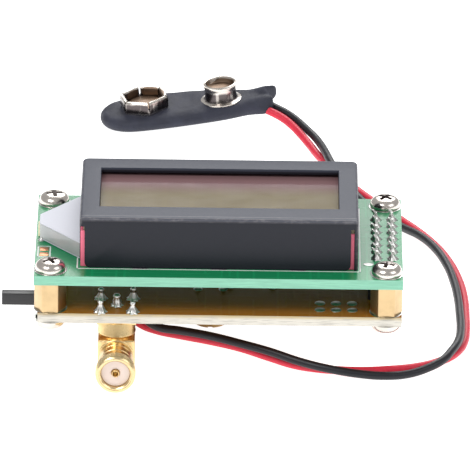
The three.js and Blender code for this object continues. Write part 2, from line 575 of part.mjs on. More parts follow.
function buildSnap() {
  const snap = new THREE.Group();
  snap.position.set(SNAP.x, SNAP.y, SNAP.z);
  snap.rotation.set(0, THREE.MathUtils.degToRad(-SNAP.tilt), THREE.MathUtils.degToRad(SNAP.turn), 'ZYX');
  assembly.add(snap);

  const middle = -half(SNAP.thickness);
  const p = SNAP_PLATE;
  const pocketHigh = middle + half(p.thickness) + RIVET_GAP;
  const pocketLow = middle - half(p.thickness) - RIVET_GAP;
  const g = RIVET_GAP;
  const posts = [0, SNAP.pitch];
  snap.updateMatrix();
  const intoSnap = snap.matrix.clone().invert();
  const channels = [RED_ROUTE, BLACK_ROUTE].map((route) => channel(route).applyMatrix4(intoSnap));
  const cover = joined([sheet(COVER_OUTLINE, -SNAP.thickness, 0)]).subtract(joined([
    ...channels,
    block(p.left - g, p.right + g, -p.halfWidth - g, p.halfWidth + g, pocketLow, pocketHigh),
    ...posts.map((x) => rod(SNAP_SOCKET.neck + 2 * g, pocketHigh - 0.2, 1, 12).translate(x, 0, 0)),
  ]));
  place(snap, 'snap_cover', geometryOf(cover), SOFT_VINYL);

  const plate = block(p.left, p.right, -p.halfWidth, p.halfWidth, middle - half(p.thickness),
    middle + half(p.thickness));
  place(snap, 'snap_plate', plate, FIBRE);

  const seat = g;
  const neckBottom = middle + half(p.thickness) + g;
  const hexagon = polygon(half(SNAP_SOCKET.flats) / Math.cos(Math.PI / 6), 6, 0, 0, SNAP_SOCKET.turn);
  const socketWall = sheet(hexagon, seat, seat + SNAP_SOCKET.height);
  const socketBore = rod(SNAP_SOCKET.bore, seat + 0.5, seat + SNAP_SOCKET.height + 1, 16);
  const neck = rod(SNAP_SOCKET.neck, neckBottom, seat + 0.2, 12);
  place(snap, 'snap_socket', carved([socketWall, neck], [socketBore]), NICKEL);

  const stud = turned([
    [0, neckBottom],
    [half(SNAP_SOCKET.neck), neckBottom],
    [half(SNAP_SOCKET.neck), seat],
    [half(SNAP_STUD.flange), seat],
    [half(SNAP_STUD.flange), seat + 0.4],
    [half(SNAP_STUD.rim) - 0.15, seat + 0.7],
    [half(SNAP_STUD.rim) - 0.15, seat + 2.2],
    [half(SNAP_STUD.rim), seat + 2.5],
    [half(SNAP_STUD.rim), seat + SNAP_STUD.height],
    [half(SNAP_STUD.bore), seat + SNAP_STUD.height],
    [half(SNAP_STUD.bore), seat + 0.5],
    [0, seat + 0.5],
  ], 20);
  place(snap, 'snap_stud', stud, NICKEL, [SNAP.pitch, 0, 0]);
}

// ---------------------------------------------------------------- assembly

buildBoards();
buildFasteners();
buildHeader();
buildBezel();
buildDisplay();
buildBacklight();
buildJack();
buildTrimmer();
buildSwitch();
buildMicrocontroller();
buildSmallParts();
place(assembly, 'wire_red', wire(RED_ROUTE), RED_PVC);
place(assembly, 'wire_black', wire(BLACK_ROUTE), BLACK_PVC);
buildSnap();

// The object's origin is under the middle of the module's own outline, without the wires and snap.
const outlineX = half(HANDLE.tip + half(UPPER_BOARD.width));
const outlineY = half(JACK.face + half(UPPER_BOARD.depth));
assembly.position.set(-outlineX, -outlineY, 0);

const frequencyCounter = new THREE.Group();
frequencyCounter.add(assembly);

export default frequencyCounter;
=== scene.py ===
"""Finished surfaces of a small stacked-board frequency counter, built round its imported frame.

The file is laid out as an add-on: property groups hold the sizes and colours, one operator makes each piece
or group of like pieces, and main() calls them in order. Shapes are modelled in millimetres and placed in
metres.
"""

import math

import bmesh
import bpy
from mathutils import Euler, Matrix, Vector


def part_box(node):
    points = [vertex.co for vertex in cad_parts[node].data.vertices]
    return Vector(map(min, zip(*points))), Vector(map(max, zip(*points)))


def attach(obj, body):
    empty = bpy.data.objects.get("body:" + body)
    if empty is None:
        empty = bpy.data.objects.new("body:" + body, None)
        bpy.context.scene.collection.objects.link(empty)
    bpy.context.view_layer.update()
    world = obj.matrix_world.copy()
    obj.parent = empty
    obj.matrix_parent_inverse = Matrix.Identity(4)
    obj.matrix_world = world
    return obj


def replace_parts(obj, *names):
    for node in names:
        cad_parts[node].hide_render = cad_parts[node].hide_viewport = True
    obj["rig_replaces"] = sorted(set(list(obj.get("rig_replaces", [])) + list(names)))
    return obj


bl_info = {
    "name": "Frequency counter module",
    "version": (1, 0, 0),
    "blender": (4, 5, 0),
    "location": "3D View > Sidebar > Counter",
    "description": "Builds the finished surfaces of a stacked-board frequency counter round its frame",
    "category": "Object",
}

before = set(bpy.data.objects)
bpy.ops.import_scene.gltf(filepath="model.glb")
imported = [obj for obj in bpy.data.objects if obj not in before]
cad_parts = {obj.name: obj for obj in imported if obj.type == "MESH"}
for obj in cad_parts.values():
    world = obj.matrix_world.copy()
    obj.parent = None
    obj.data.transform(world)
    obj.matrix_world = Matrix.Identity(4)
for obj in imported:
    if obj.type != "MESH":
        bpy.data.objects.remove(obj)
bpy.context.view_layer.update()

MM = 0.001
TAU = 2 * math.pi
CORNERS = ("front_left", "front_right", "rear_left", "rear_right")


def node_box(name):
    """Lowest and highest corner of a node, in millimetres."""
    low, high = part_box(name)
    return low / MM, high / MM


def middle(name):
    low, high = node_box(name)
    return (low + high) / 2


UPPER_LOW, UPPER_HIGH = node_box("upper_board")
LOWER_LOW, LOWER_HIGH = node_box("lower_board")
CENTRE = Vector((middle("upper_board").x, middle("upper_board").y, 0))
JACK_LOW, JACK_HIGH = node_box("sma_body")
JACK_X = middle("sma_body").x
PITCH = 2.54
HEADER_PINS = 14
CHIP_PINS_A_SIDE = 14
TAB_XS = (-12.35, 0.0, 12.45)
TAB_HALF = 1.05
WINDOW_HALF = (18.9, 7.72)
JACK_AXIS = 3.175
JACK_FRONT = 3.74
HANDLE_Y = CENTRE.y - 1.3
HANDLE_Z = 6.7
TARGET = Vector((2.506, 0, 17.437))

# The battery snap's plane: where the socket stands, its turn and tilt in degrees, and the contacts' pitch.
SNAP_ORIGIN = Vector((-12.96, 84.93, 3.3))
SNAP_TURN = 3.2
SNAP_TILT = 5.7
SNAP_PITCH = 12.95
SOCKET_TURN = -0.36

# The two wires' routes, measured from the middle of the upper board, from solder joint to battery snap.
RED_ROUTE = (
    (-15.2, -7.0, 8.0), (-13.9, -7.4, 6.6), (-12.2, -7.7, 5.2), (-9.8, -7.9, 4.3), (-6.0, -8.4, 3.7),
    (-1.2, -8.9, 3.0), (3.5, -9.4, 2.1), (8.3, -11.0, 1.2), (12.1, -12.8, 0.8), (15.4, -13.8, 0.7),
    (18.8, -14.4, 0.7), (22.5, -14.6, 0.7), (27.2, -14.0, 0.7), (32.0, -12.6, 0.7), (35.2, -10.5, 0.7),
    (37.1, -8.4, 0.7), (38.4, -5.9, 0.7), (39.1, -3.4, 0.7), (39.5, 0.5, 0.7), (39.6, 7.4, 0.7),
    (39.5, 13.7, 0.7), (38.7, 21.6, 0.7), (36.9, 29.9, 0.7), (35.1, 35.0, 0.7), (32.7, 40.0, 0.7),
    (30.0, 44.6, 0.7), (27.4, 48.9, 0.7), (24.8, 53.2, 0.7), (22.5, 57.3, 0.7), (20.3, 61.8, 0.7),
    (18.1, 66.8, 0.7), (16.0, 72.2, 0.7), (14.5, 76.0, 1.1), (13.1, 78.4, 1.8), (11.7, 80.3, 2.5),
    (10.2, 81.8, 3.1), (8.6, 83.0, 3.5), (6.0, 84.7, 4.0),
)
BLACK_ROUTE = (
    (-12.4, -7.9, 8.0), (-11.9, -8.4, 7.1), (-11.0, -8.9, 6.2), (-9.4, -9.2, 5.4), (-6.0, -9.3, 4.9),
    (-1.2, -9.7, 4.2), (3.5, -10.4, 3.3), (8.3, -11.9, 2.6), (13.0, -14.0, 1.9), (17.8, -15.6, 1.4),
    (22.5, -16.2, 0.9), (26.5, -16.3, 0.7), (30.1, -15.5, 0.7), (33.3, -13.9, 1.1), (35.6, -12.0, 1.6),
    (37.0, -9.4, 2.0), (38.1, -6.0, 2.1), (38.6, -1.1, 1.9), (38.6, 5.1, 1.8), (38.4, 12.4, 1.6),
    (37.9, 18.6, 1.5), (36.8, 25.7, 1.5), (34.9, 32.4, 1.5), (32.6, 37.5, 1.3), (30.0, 41.8, 0.8),
    (27.1, 46.2, 0.7), (24.3, 50.9, 0.7), (21.8, 55.7, 1.2), (19.7, 60.6, 1.9), (18.3, 65.3, 2.15),
    (17.5, 69.3, 2.1), (17.0, 72.0, 1.9), (16.4, 74.6, 1.75), (15.5, 77.2, 1.8), (14.3, 79.2, 2.15),
    (12.3, 81.9, 2.9), (10.7, 83.4, 3.4), (9.3, 84.7, 3.6), (6.2, 87.5, 4.0),
)

# The snap cover's outline in its own plane, from its round left end and back along its front.
COVER_OUTLINE = (
    (-7.6, 0.4), (-7.1, -2.2), (-5.3, -4.4), (-2.2, -5.6), (4.0, -5.5), (10.5, -4.8), (15.5, -3.9),
    (20.6, -3.2), (21.6, -0.4), (21.0, 1.6), (22.2, 3.8), (18.0, 4.4), (13.5, 5.6), (7.0, 6.3), (-1.5, 6.2),
    (-5.0, 5.0), (-7.0, 2.9),
)


# ---------------------------------------------------------------- sizes and colours


def colour(name, description, default):
    return bpy.props.FloatVectorProperty(
        name=name, description=description, default=default, subtype="COLOR", size=3, min=0, max=1
    )


def millimetres(name, description, default):
    return bpy.props.FloatProperty(
        name=name, description=description + ", in millimetres", default=default, min=0
    )


class CounterColours(bpy.types.PropertyGroup):
    mask_green: colour("Green mask", "Solder mask of the upper board", (0.008, 0.27, 0.1))
    edge_green: colour("Green edge", "Sawn edge of the upper board", (0.24, 0.56, 0.4))
    amber: colour("Amber", "Faces of the lower board", (0.34, 0.125, 0.012))
    cream: colour("Cream edge", "Sawn edge of the lower board", (0.68, 0.65, 0.58))
    legend: colour("Legend", "White printed lines", (0.8, 0.82, 0.8))
    brass: colour("Brass", "Standoffs and trimmer rotor", (0.58, 0.42, 0.23))
    nickel: colour("Nickel", "Screws and snap contacts", (0.68, 0.63, 0.58))
    gold: colour("Gold", "Plating of the RF jack", (0.8, 0.6, 0.31))
    solder: colour("Solder", "Tinned metal and solder", (0.66, 0.66, 0.64))
    bezel: colour("Bezel paint", "Black paint of the display's bezel", (0.012, 0.013, 0.02))
    # The display's colours at front and back are a painted reflection of its polarizer.
    glass_near_painted_reflection: colour("Glass, near", "Display seen at the front", (0.185, 0.15, 0.085))
    glass_far_painted_reflection: colour("Glass, far", "Display seen at the back", (0.2, 0.115, 0.12))
    elastomer: colour("Elastomer", "Pink contact strips", (0.82, 0.16, 0.25))
    red_wire: colour("Red wire", "Insulation of the positive wire", (0.6, 0.022, 0.05))
    black_wire: colour("Black wire", "Insulation of the negative wire", (0.008, 0.008, 0.012))
    vinyl: colour("Snap cover", "Soft vinyl of the battery snap", (0.024, 0.026, 0.04))


class CounterSizes(bpy.types.PropertyGroup):
    recess_span: millimetres("Cross span", "Span of the screws' cross recess", 3.0)
    recess_depth: millimetres("Cross depth", "Depth of the screws' cross recess", 1.5)
    sheet: millimetres("Sheet", "Thickness of the bezel's sheet metal", 0.4)
    bend: millimetres("Bend", "Outer radius of the bezel's bends", 0.5)
    thread_pitch: millimetres("Thread pitch", "Pitch of the RF jack's thread", 0.7056)
    legend_line: millimetres("Legend line", "Width of a printed line", 0.2)
    wire: millimetres("Wire", "Outside diameter of a wire", 1.35)


class CounterStage(bpy.types.PropertyGroup):
    floor: colour("Floor", "Floor colour", (0.7, 0.7, 0.7))
    lamp: bpy.props.FloatProperty(
        name="Lamp", description="Power of the key lamp", default=6.0, min=0, unit="POWER"
    )
    distance: bpy.props.FloatProperty(
        name="Distance", description="Camera to the module", default=1.34976, min=0.1, unit="LENGTH"
    )
    elevation: bpy.props.FloatProperty(
        name="Elevation", description="Camera above the horizon",
        default=math.radians(23.728), unit="ROTATION"
    )
    roll: bpy.props.FloatProperty(
        name="Roll", description="Camera's turn about its view", default=math.radians(0.735), unit="ROTATION"
    )
    lens: bpy.props.FloatProperty(
        name="Lens", description="Focal length", default=652.06, min=10, unit="CAMERA"
    )


# ---------------------------------------------------------------- shader building


class Num:
    """A shader socket that takes part in Python arithmetic."""

    def __init__(self, shader, socket):
        self.shader = shader
        self.socket = socket

    def math(self, operation, *others, clamp=False):
        values = dict(enumerate((self, *others)))
        return self.shader.node("ShaderNodeMath", {"operation": operation, "use_clamp": clamp}, values)

    def flipped(self, operation, other):
        return self.shader.node("ShaderNodeMath", {"operation": operation}, {0: other, 1: self})

    def __add__(self, other):
        return self.math("ADD", other)

    __radd__ = __add__

    def __sub__(self, other):
        return self.math("SUBTRACT", other)

    def __rsub__(self, other):
        return self.flipped("SUBTRACT", other)

    def __mul__(self, other):
        return self.math("MULTIPLY", other)

    __rmul__ = __mul__

    def __truediv__(self, other):
        return self.math("DIVIDE", other)

    def __rtruediv__(self, other):
        return self.flipped("DIVIDE", other)

    def __abs__(self):
        return self.math("ABSOLUTE")

    def above(self, level):
        return self.math("GREATER_THAN", level)

    def below(self, level):
        return self.math("LESS_THAN", level)

    def rising(self, start, stop):
        """0 up to start, 1 from stop on, smooth between them."""
        settings = {"interpolation_type": "SMOOTHSTEP"}
        return self.shader.node("ShaderNodeMapRange", settings, {0: self, 1: start, 2: stop, 3: 0.0, 4: 1.0})


class Finish:
    """One procedural material. Constants go straight on its Principled shader's sockets."""

    def __init__(self, name, **constants):
        self.material = bpy.data.materials.new(name)
        self.material.use_nodes = True
        self.tree = self.material.node_tree
        self.tree.nodes.clear()
        self.shader = self.tree.nodes.new("ShaderNodeBsdfPrincipled")
        output = self.tree.nodes.new("ShaderNodeOutputMaterial")
        self.tree.links.new(self.shader.outputs[0], output.inputs[0])
        self.place = self.node("ShaderNodeTexCoord", {}, {}, "Object")
        for socket, value in constants.items():
            self.feed(socket.replace("_", " "), value)

    def put(self, socket, value):
        if isinstance(value, Num):
            self.tree.links.new(value.socket, socket)
        elif hasattr(value, "__len__") and len(value) == 3 and socket.type == "RGBA":
            socket.default_value = (*value, 1.0)
        else:
            socket.default_value = value

    def node(self, kind, settings, inputs, output=0):
        """Adds a node, sets it up, fills its inputs and returns one of its outputs."""
        made = self.tree.nodes.new(kind)
        for key, value in settings.items():
            if key == "stops":
                self.ramp(made.color_ramp, value)
            else:
                setattr(made, key, value)
        for key, value in inputs.items():
            self.put(made.inputs[key], value)
        return Num(self, made.outputs[output])

    @staticmethod
    def ramp(band, stops):
        while len(band.elements) < len(stops):
            band.elements.new(1.0)
        for element, (position, shade) in zip(band.elements, stops):
            element.position = position
            element.color = (*shade, 1.0)

    def feed(self, socket, value):
        self.put(self.shader.inputs[socket], value)
        return self

    def axes(self):
        """The piece's own x, y and z in millimetres."""
        return [self.node("ShaderNodeSeparateXYZ", {}, {0: self.place}, i) * (1 / MM) for i in range(3)]

    def stretched(self, scale):
        """Object coordinates stretched by scale, in millimetres."""
        return self.node("ShaderNodeMapping", {}, {"Vector": self.place, "Scale": [s / MM for s in scale]})

    def noise(self, scale, detail=2.0, rough=0.5, stretch=(1, 1, 1)):
        """A noise of scale bumps per millimetre, from 0 to 1."""
        inputs = {"Vector": self.stretched(stretch), "Scale": scale, "Detail": detail, "Roughness": rough}
        return self.node("ShaderNodeTexNoise", {}, inputs)

    def mix(self, factor, first, second, blend="MIX"):
        settings = {"data_type": "RGBA", "blend_type": blend}
        return self.node("ShaderNodeMix", settings, {0: factor, 6: first, 7: second}, 2)

    def bump(self, height, depth, strength=1.0):
        """Feeds the normal from a height of depth millimetres."""
        inputs = {"Height": height, "Distance": depth * MM, "Strength": strength}
        return self.feed("Normal", self.node("ShaderNodeBump", {}, inputs))


def darker(shade, factor):
    return tuple(min(1.0, part * factor) for part in shade)


# ---------------------------------------------------------------- materials


def tracks(finish, x, y):
    """Copper tracks under a mask: short straight runs in two directions on a 1.27 mm grid, from 0 to 1."""
    grid = PITCH / 2
    runs = []
    for along, across, seed in ((x, y, 3.1), (y, x, 8.7)):
        row = (across / grid).math("FLOOR")
        column = (along / (grid * 5) + row * 0.37 + seed).math("FLOOR")
        inputs = {"W": row * 12.9 + column * 7.3 + seed}
        lot = finish.node("ShaderNodeTexWhiteNoise", {"noise_dimensions": "1D"}, inputs)
        offset = abs((across / grid).math("FRACT") - 0.5)
        runs.append(offset.below(0.13) * lot.above(0.58))
    return runs[0].math("MAXIMUM", runs[1])


def rim(x, y, low, high, reach=0.03):
    """1 on a board's sawn edges and 0 on its faces."""
    centre, half = (low + high) / 2, (high - low) / 2
    return abs(x - centre.x).above(half.x - reach).math("MAXIMUM", abs(y - centre.y).above(half.y - reach))


def green_laminate(colours):
    finish = Finish("green_laminate", Coat_Weight=0.2, Coat_Roughness=0.15)
    x, y, _ = finish.axes()
    runs = tracks(finish, x, y)
    edge = rim(x, y, UPPER_LOW, UPPER_HIGH)
    green = tuple(colours.mask_green)
    mask = finish.mix(runs * 0.55, darker(green, 0.92), darker(green, 1.35))
    mask = finish.mix(finish.noise(0.35, 3) * 0.35, mask, darker(green, 0.75))
    layers = finish.noise(3.0, 3, stretch=(0.12, 0.12, 3.0))
    sawn = finish.mix(
        layers.rising(0.35, 0.7), darker(tuple(colours.edge_green), 0.82), tuple(colours.edge_green)
    )
    finish.feed("Base Color", finish.mix(edge, mask, sawn))
    finish.feed("Roughness", 0.27 + edge * 0.35 + finish.noise(1.5, 4) * 0.08)
    height = runs * (1 - edge) + layers * edge * 0.8 + finish.noise(6, 2) * 0.12
    finish.bump(height, 0.03)
    return finish.material


def amber_laminate(colours):
    finish = Finish("amber_laminate", Specular_IOR_Level=0.3)
    x, y, z = finish.axes()
    runs = tracks(finish, x, y)
    edge = rim(x, y, LOWER_LOW, LOWER_HIGH)
    amber, cream = tuple(colours.amber), tuple(colours.cream)
    face = finish.mix(runs * 0.25, amber, (0.42, 0.2, 0.04))
    face = finish.mix(finish.noise(0.4, 3) * 0.4, face, darker(amber, 0.7))
    depth = (LOWER_HIGH.z - z) / (LOWER_HIGH.z - LOWER_LOW.z)
    layers = finish.noise(2.2, 4, stretch=(0.15, 0.15, 3.5))
    band = (depth + layers * 0.35 - 0.17).rising(0.05, 0.45)
    sawn = finish.mix(band, (0.5, 0.4, 0.22), cream)
    sawn = finish.mix(layers.rising(0.5, 0.62) * 0.6, sawn, (0.36, 0.34, 0.31))
    finish.feed("Base Color", finish.mix(edge, face, sawn))
    finish.feed("Roughness", 0.14 + edge * 0.5 + finish.noise(1.2, 4) * 0.08)
    finish.bump(runs * (1 - edge) + layers * edge, 0.035)
    return finish.material


def metal(name, shade, roughness, grain=(1, 1, 1), tarnish=0.25, texture=0.004, dull=None):
    """Bare or plated metal with fine grain, stretched by grain, and uneven tarnish."""
    finish = Finish(name, Metallic=1.0)
    lines = finish.noise(9.0, 3, stretch=grain)
    patches = finish.noise(0.55, 4)
    dulled = darker(shade, 0.62) if dull is None else dull
    finish.feed("Base Color", finish.mix(patches.rising(0.42, 0.8) * tarnish, shade, dulled))
    finish.feed("Roughness", roughness + lines * 0.12 + patches * 0.1 - 0.1)
    finish.bump(lines, texture)
    return finish.material


def snap_nickel(colours):
    """Drawn nickel-plated contacts: plain nickel on the rims and flanges, a painted reflection of the dark
    cover on the walls, and painted shade within the two cups.
    """
    finish = Finish("snap_nickel", Metallic=1.0)
    x, y, z = finish.axes()
    place = snap_place()
    socket, stud = place @ Vector((0, 0, 0)), place @ Vector((SNAP_PITCH, 0, 0))
    height = z - socket.z - (x - socket.x) * ((stud.z - socket.z) / (stud.x - socket.x))
    wear = finish.noise(0.9, 4)
    # Plain nickel on the rims above 2.1 mm and on the flanges below 0.45 mm; the walls between take the dark
    # colour, a painted reflection of the dark cover.
    bright = (height + wear * 0.5).rising(2.1, 2.6).math(
        "MAXIMUM", 1 - (height + wear * 0.2).rising(0.45, 0.7)
    )
    # Upright streaks of plain nickel across the walls: painted reflections.
    bright = (bright + finish.noise(0.6, 3, stretch=(1.6, 1.6, 0.1)).rising(0.52, 0.62) * 0.55).math(
        "MINIMUM", 1.0
    )
    shade = finish.mix(bright, (0.1, 0.085, 0.085), tuple(colours.nickel))
    # Painted shade: brown within the two cups from 0.5 mm up, weaker above 2.9 mm.
    cups = []
    for centre, radius in ((socket, 3.25), (stud, 2.42)):
        along = (x - centre.x).math("POWER", 2) + (y - centre.y).math("POWER", 2)
        cups.append(along.below(radius * radius))
    cup_painted_shade = cups[0].math("MAXIMUM", cups[1]) * height.above(0.5) * (1 - height.rising(2.9, 3.15) * 0.7)
    finish.feed("Base Color", finish.mix(cup_painted_shade, shade, (0.2, 0.14, 0.1)))
    finish.feed("Roughness", 0.2 + wear * 0.12 + cup_painted_shade * 0.15)
    finish.bump(wear, 0.006)
    return finish.material


def moulded(name, shade, roughness, texture=0.01, scale=6.0, coat=0.0):
    """Moulded plastic, ceramic or epoxy with a fine skin and faint wear."""
    finish = Finish(name, Coat_Weight=coat)
    grain = finish.noise(scale, 4)
    wear = finish.noise(0.7, 5)
    finish.feed("Base Color", finish.mix(wear.rising(0.5, 0.85) * 0.4, shade, darker(shade, 1.7)))
    finish.feed("Roughness", roughness + grain * 0.1 + wear * 0.12 - 0.1)
    finish.bump(grain, texture)
    return finish.material


def bezel_paint(colours):
    """Black paint on sheet metal, with pale lines along the bends that are partly worn paint and partly
    painted highlights, and a painted sheen on the top face.
    """
    finish = Finish("bezel_paint", Specular_IOR_Level=0.28)
    x, y, z = finish.axes()
    low, high = node_box("lcd_bezel")
    centre, half = (low + high) / 2, (high - low) / 2
    near = [
        1 - (half.x - abs(x - centre.x)).rising(0.08, 0.5),
        1 - (half.y - abs(y - centre.y)).rising(0.08, 0.5),
        1 - (high.z - z).rising(0.08, 0.5),
    ]
    bends = near[0] * near[1] + near[1] * near[2] + near[0] * near[2]
    scuffs = finish.noise(0.9, 6, 0.7, stretch=(0.6, 1, 1.6)).rising(0.46, 0.66)
    specks = finish.noise(5.0, 3).rising(0.72, 0.78) * 0.5
    # Painted highlights: a pale line along the front bend 0.35 mm under the top, and two pale lines on the
    # top face 0.35 mm and 1.1 mm behind the front edge.
    front = (y - low.y).rising(1.6, 0.2) * abs(z - high.z + 0.35).rising(0.28, 0.12)
    crease_highlights = abs(y - low.y - 1.1).rising(0.14, 0.05) + abs(y - low.y - 0.35).rising(0.16, 0.06)
    crease_highlights = crease_highlights * (z - high.z).rising(-0.5, -0.1)
    lines = (front * 0.4 + crease_highlights * 0.9) * (0.5 + scuffs * 0.5)
    # Pale where the paint is worn and where highlights are painted on the bends and lines.
    rubbed_and_highlit = (bends * (0.25 + scuffs * 0.75) + lines + specks * 0.25).math("MINIMUM", 1.0)
    paint = tuple(colours.bezel)
    # Painted sheen: the top face is lighter and bluer than the sides.
    shade = finish.mix((z - high.z).rising(-0.5, -0.2), paint, (0.042, 0.047, 0.068))
    finish.feed("Base Color", finish.mix(rubbed_and_highlit * 0.55, shade, (0.24, 0.23, 0.24)))
    finish.feed("Roughness", 0.42 + finish.noise(2.5, 3) * 0.1 - rubbed_and_highlit * 0.1)
    finish.bump(finish.noise(3.5, 2) + finish.noise(14, 2) * 0.3, 0.012)
    return finish.material


def display_panel(colours):
    """Unlit liquid crystal panel with faint blank character cells: olive at the front and mauve at the back,
    a painted reflection of the polarizer seen at a slant.
    """
    finish = Finish("display_panel", IOR=1.45, Specular_IOR_Level=0.3)
    x, y, _ = finish.axes()
    low, high = node_box("lcd_rear_glass")
    middle_x, middle_y = (low.x + high.x) / 2, (low.y + high.y) / 2
    # Painted reflection: the panel shades from olive at the front to mauve at the back.
    across = (y - middle_y + 7.7) / 15.4
    shade = finish.mix(across.rising(0.5, 0.85), tuple(colours.glass_near_painted_reflection), tuple(colours.glass_far_painted_reflection))
    columns = ((x - middle_x) / 4.35 + 8).math("FRACT")
    rows = ((y - middle_y) / 6.9 + 4).math("FRACT")
    cell = abs(columns - 0.5).below(0.4) * abs(rows - 0.5).below(0.41)
    dots = abs(((x - middle_x) / 0.58 + 60).math("FRACT") - 0.5).below(0.44)
    dots = dots * abs(((y - middle_y) / 0.64 + 60).math("FRACT") - 0.5).below(0.44)
    area = abs(x - middle_x).below(17.4) * abs(y - middle_y).below(6.9)
    lit = cell * dots * area
    finish.feed("Base Color", finish.mix(lit * 0.05, shade, (0.05, 0.05, 0.07)))
    finish.feed("Roughness", 0.05 + finish.noise(0.3, 3) * 0.05)
    finish.bump(finish.noise(0.25, 1), 0.004)
    return finish.material


def zebra_rubber(colours):
    """Pink elastomer with its thin conducting layers and a faint painted glow."""
    finish = Finish("zebra_rubber", Roughness=0.55)
    _, y, _ = finish.axes()
    pink = tuple(colours.elastomer)
    layer = abs((y / 0.6).math("FRACT") - 0.5).rising(0.2, 0.35)
    base = finish.mix(finish.noise(1.2, 4), darker(pink, 0.8), pink)
    finish.feed("Base Color", finish.mix(layer * 0.35, base, darker(pink, 1.25)))
    # Painted glow: a faint pink emission, though the strips give no light.
    finish.feed("Emission Color", pink)
    finish.feed("Emission Strength", 0.12)
    finish.bump(finish.noise(4, 3), 0.02)
    return finish.material


def clear_acrylic():
    finish = Finish("clear_acrylic", Transmission_Weight=0.55, IOR=1.49, Roughness=0.12)
    haze = finish.noise(0.5, 4)
    finish.feed("Base Color", finish.mix(haze, (0.72, 0.77, 0.78), (0.88, 0.9, 0.9)))
    finish.feed("Roughness", 0.08 + haze * 0.15)
    finish.bump(finish.noise(1.0, 3), 0.01)
    return finish.material


def paper_white(name="white_film", shade=(0.62, 0.63, 0.7)):
    finish = Finish(name, Roughness=0.5)
    fibre = finish.noise(1.5, 5)
    finish.feed("Base Color", finish.mix(fibre, darker(shade, 0.93), shade))
    finish.feed("Roughness", 0.42 + fibre * 0.2)
    finish.bump(finish.noise(5, 3), 0.01)
    return finish.material


def solder_metal(colours):
    """Solder with a bright skin, dull grey patches and flux stains."""
    finish = Finish("solder_metal", Metallic=1.0)
    patches = finish.noise(1.6, 5)
    stain = finish.noise(0.9, 4).rising(0.62, 0.8)
    shade = tuple(colours.solder)
    bright = finish.mix(patches.rising(0.4, 0.7), shade, darker(shade, 0.7))
    finish.feed("Base Color", finish.mix(stain * 0.5, bright, (0.35, 0.25, 0.12)))
    finish.feed("Roughness", 0.18 + patches * 0.3)
    finish.bump(finish.noise(3.5, 4), 0.04)
    return finish.material


def bare_copper():
    finish = Finish("bare_copper", Metallic=1.0)
    patches = finish.noise(1.4, 4)
    finish.feed("Base Color", finish.mix(patches, (0.75, 0.36, 0.2), (0.5, 0.24, 0.15)))
    finish.feed("Roughness", 0.3 + patches * 0.2)
    finish.bump(patches, 0.01)
    return finish.material


def wire_vinyl(name, shade):
    """Extruded insulation with a soft gloss, faint die lines and handling marks."""
    finish = Finish(name, Specular_IOR_Level=0.35)
    marks = finish.noise(0.8, 5)
    skin = finish.noise(7.0, 3)
    finish.feed("Base Color", finish.mix(marks.rising(0.45, 0.8) * 0.4, shade, darker(shade, 1.5)))
    finish.feed("Roughness", 0.3 + marks * 0.15 + skin * 0.05)
    finish.bump(skin + marks * 0.6, 0.012)
    return finish.material


def soft_vinyl(colours):
    """Dull dipped vinyl with fine wrinkles, dust and a paler bloom."""
    finish = Finish("soft_vinyl", Specular_IOR_Level=0.3)
    shade = tuple(colours.vinyl)
    bloom = finish.noise(0.35, 5)
    wrinkles = finish.noise(0.9, 6, 0.65, stretch=(1.8, 0.7, 1))
    dust = finish.noise(6.0, 3).rising(0.68, 0.74)
    base = finish.mix(bloom.rising(0.3, 0.75) * 0.6, shade, darker(shade, 1.8))
    finish.feed("Base Color", finish.mix(dust * 0.12, base, (0.4, 0.4, 0.42)))
    finish.feed("Roughness", 0.5 + bloom * 0.15)
    finish.bump(wrinkles + finish.noise(8, 2) * 0.12, 0.12, 0.8)
    return finish.material


def sleeve_plastic():
    finish = Finish("sleeve_plastic", Coat_Weight=0.4, Coat_Roughness=0.1)
    x, y, _ = finish.axes()
    centre = middle("electrolytic_capacitor")
    stripe = (x - centre.x).below(-1.2) * abs(y - centre.y).below(1.4)
    finish.feed("Base Color", finish.mix(stripe, (0.015, 0.02, 0.05), (0.45, 0.47, 0.5)))
    finish.feed("Roughness", 0.25 + finish.noise(1.5, 3) * 0.1)
    finish.bump(finish.noise(2.0, 3), 0.01)
    return finish.material


def diode_glass():
    finish = Finish("diode_glass", Coat_Weight=0.8, Coat_Roughness=0.05)
    x, _, _ = finish.axes()
    band = abs(x - middle("supply_diode").x - 1.3).below(0.35)
    finish.feed("Base Color", finish.mix(band, (0.55, 0.16, 0.04), (0.02, 0.02, 0.025)))
    finish.feed("Roughness", 0.15 + finish.noise(2.0, 3) * 0.08)
    return finish.material


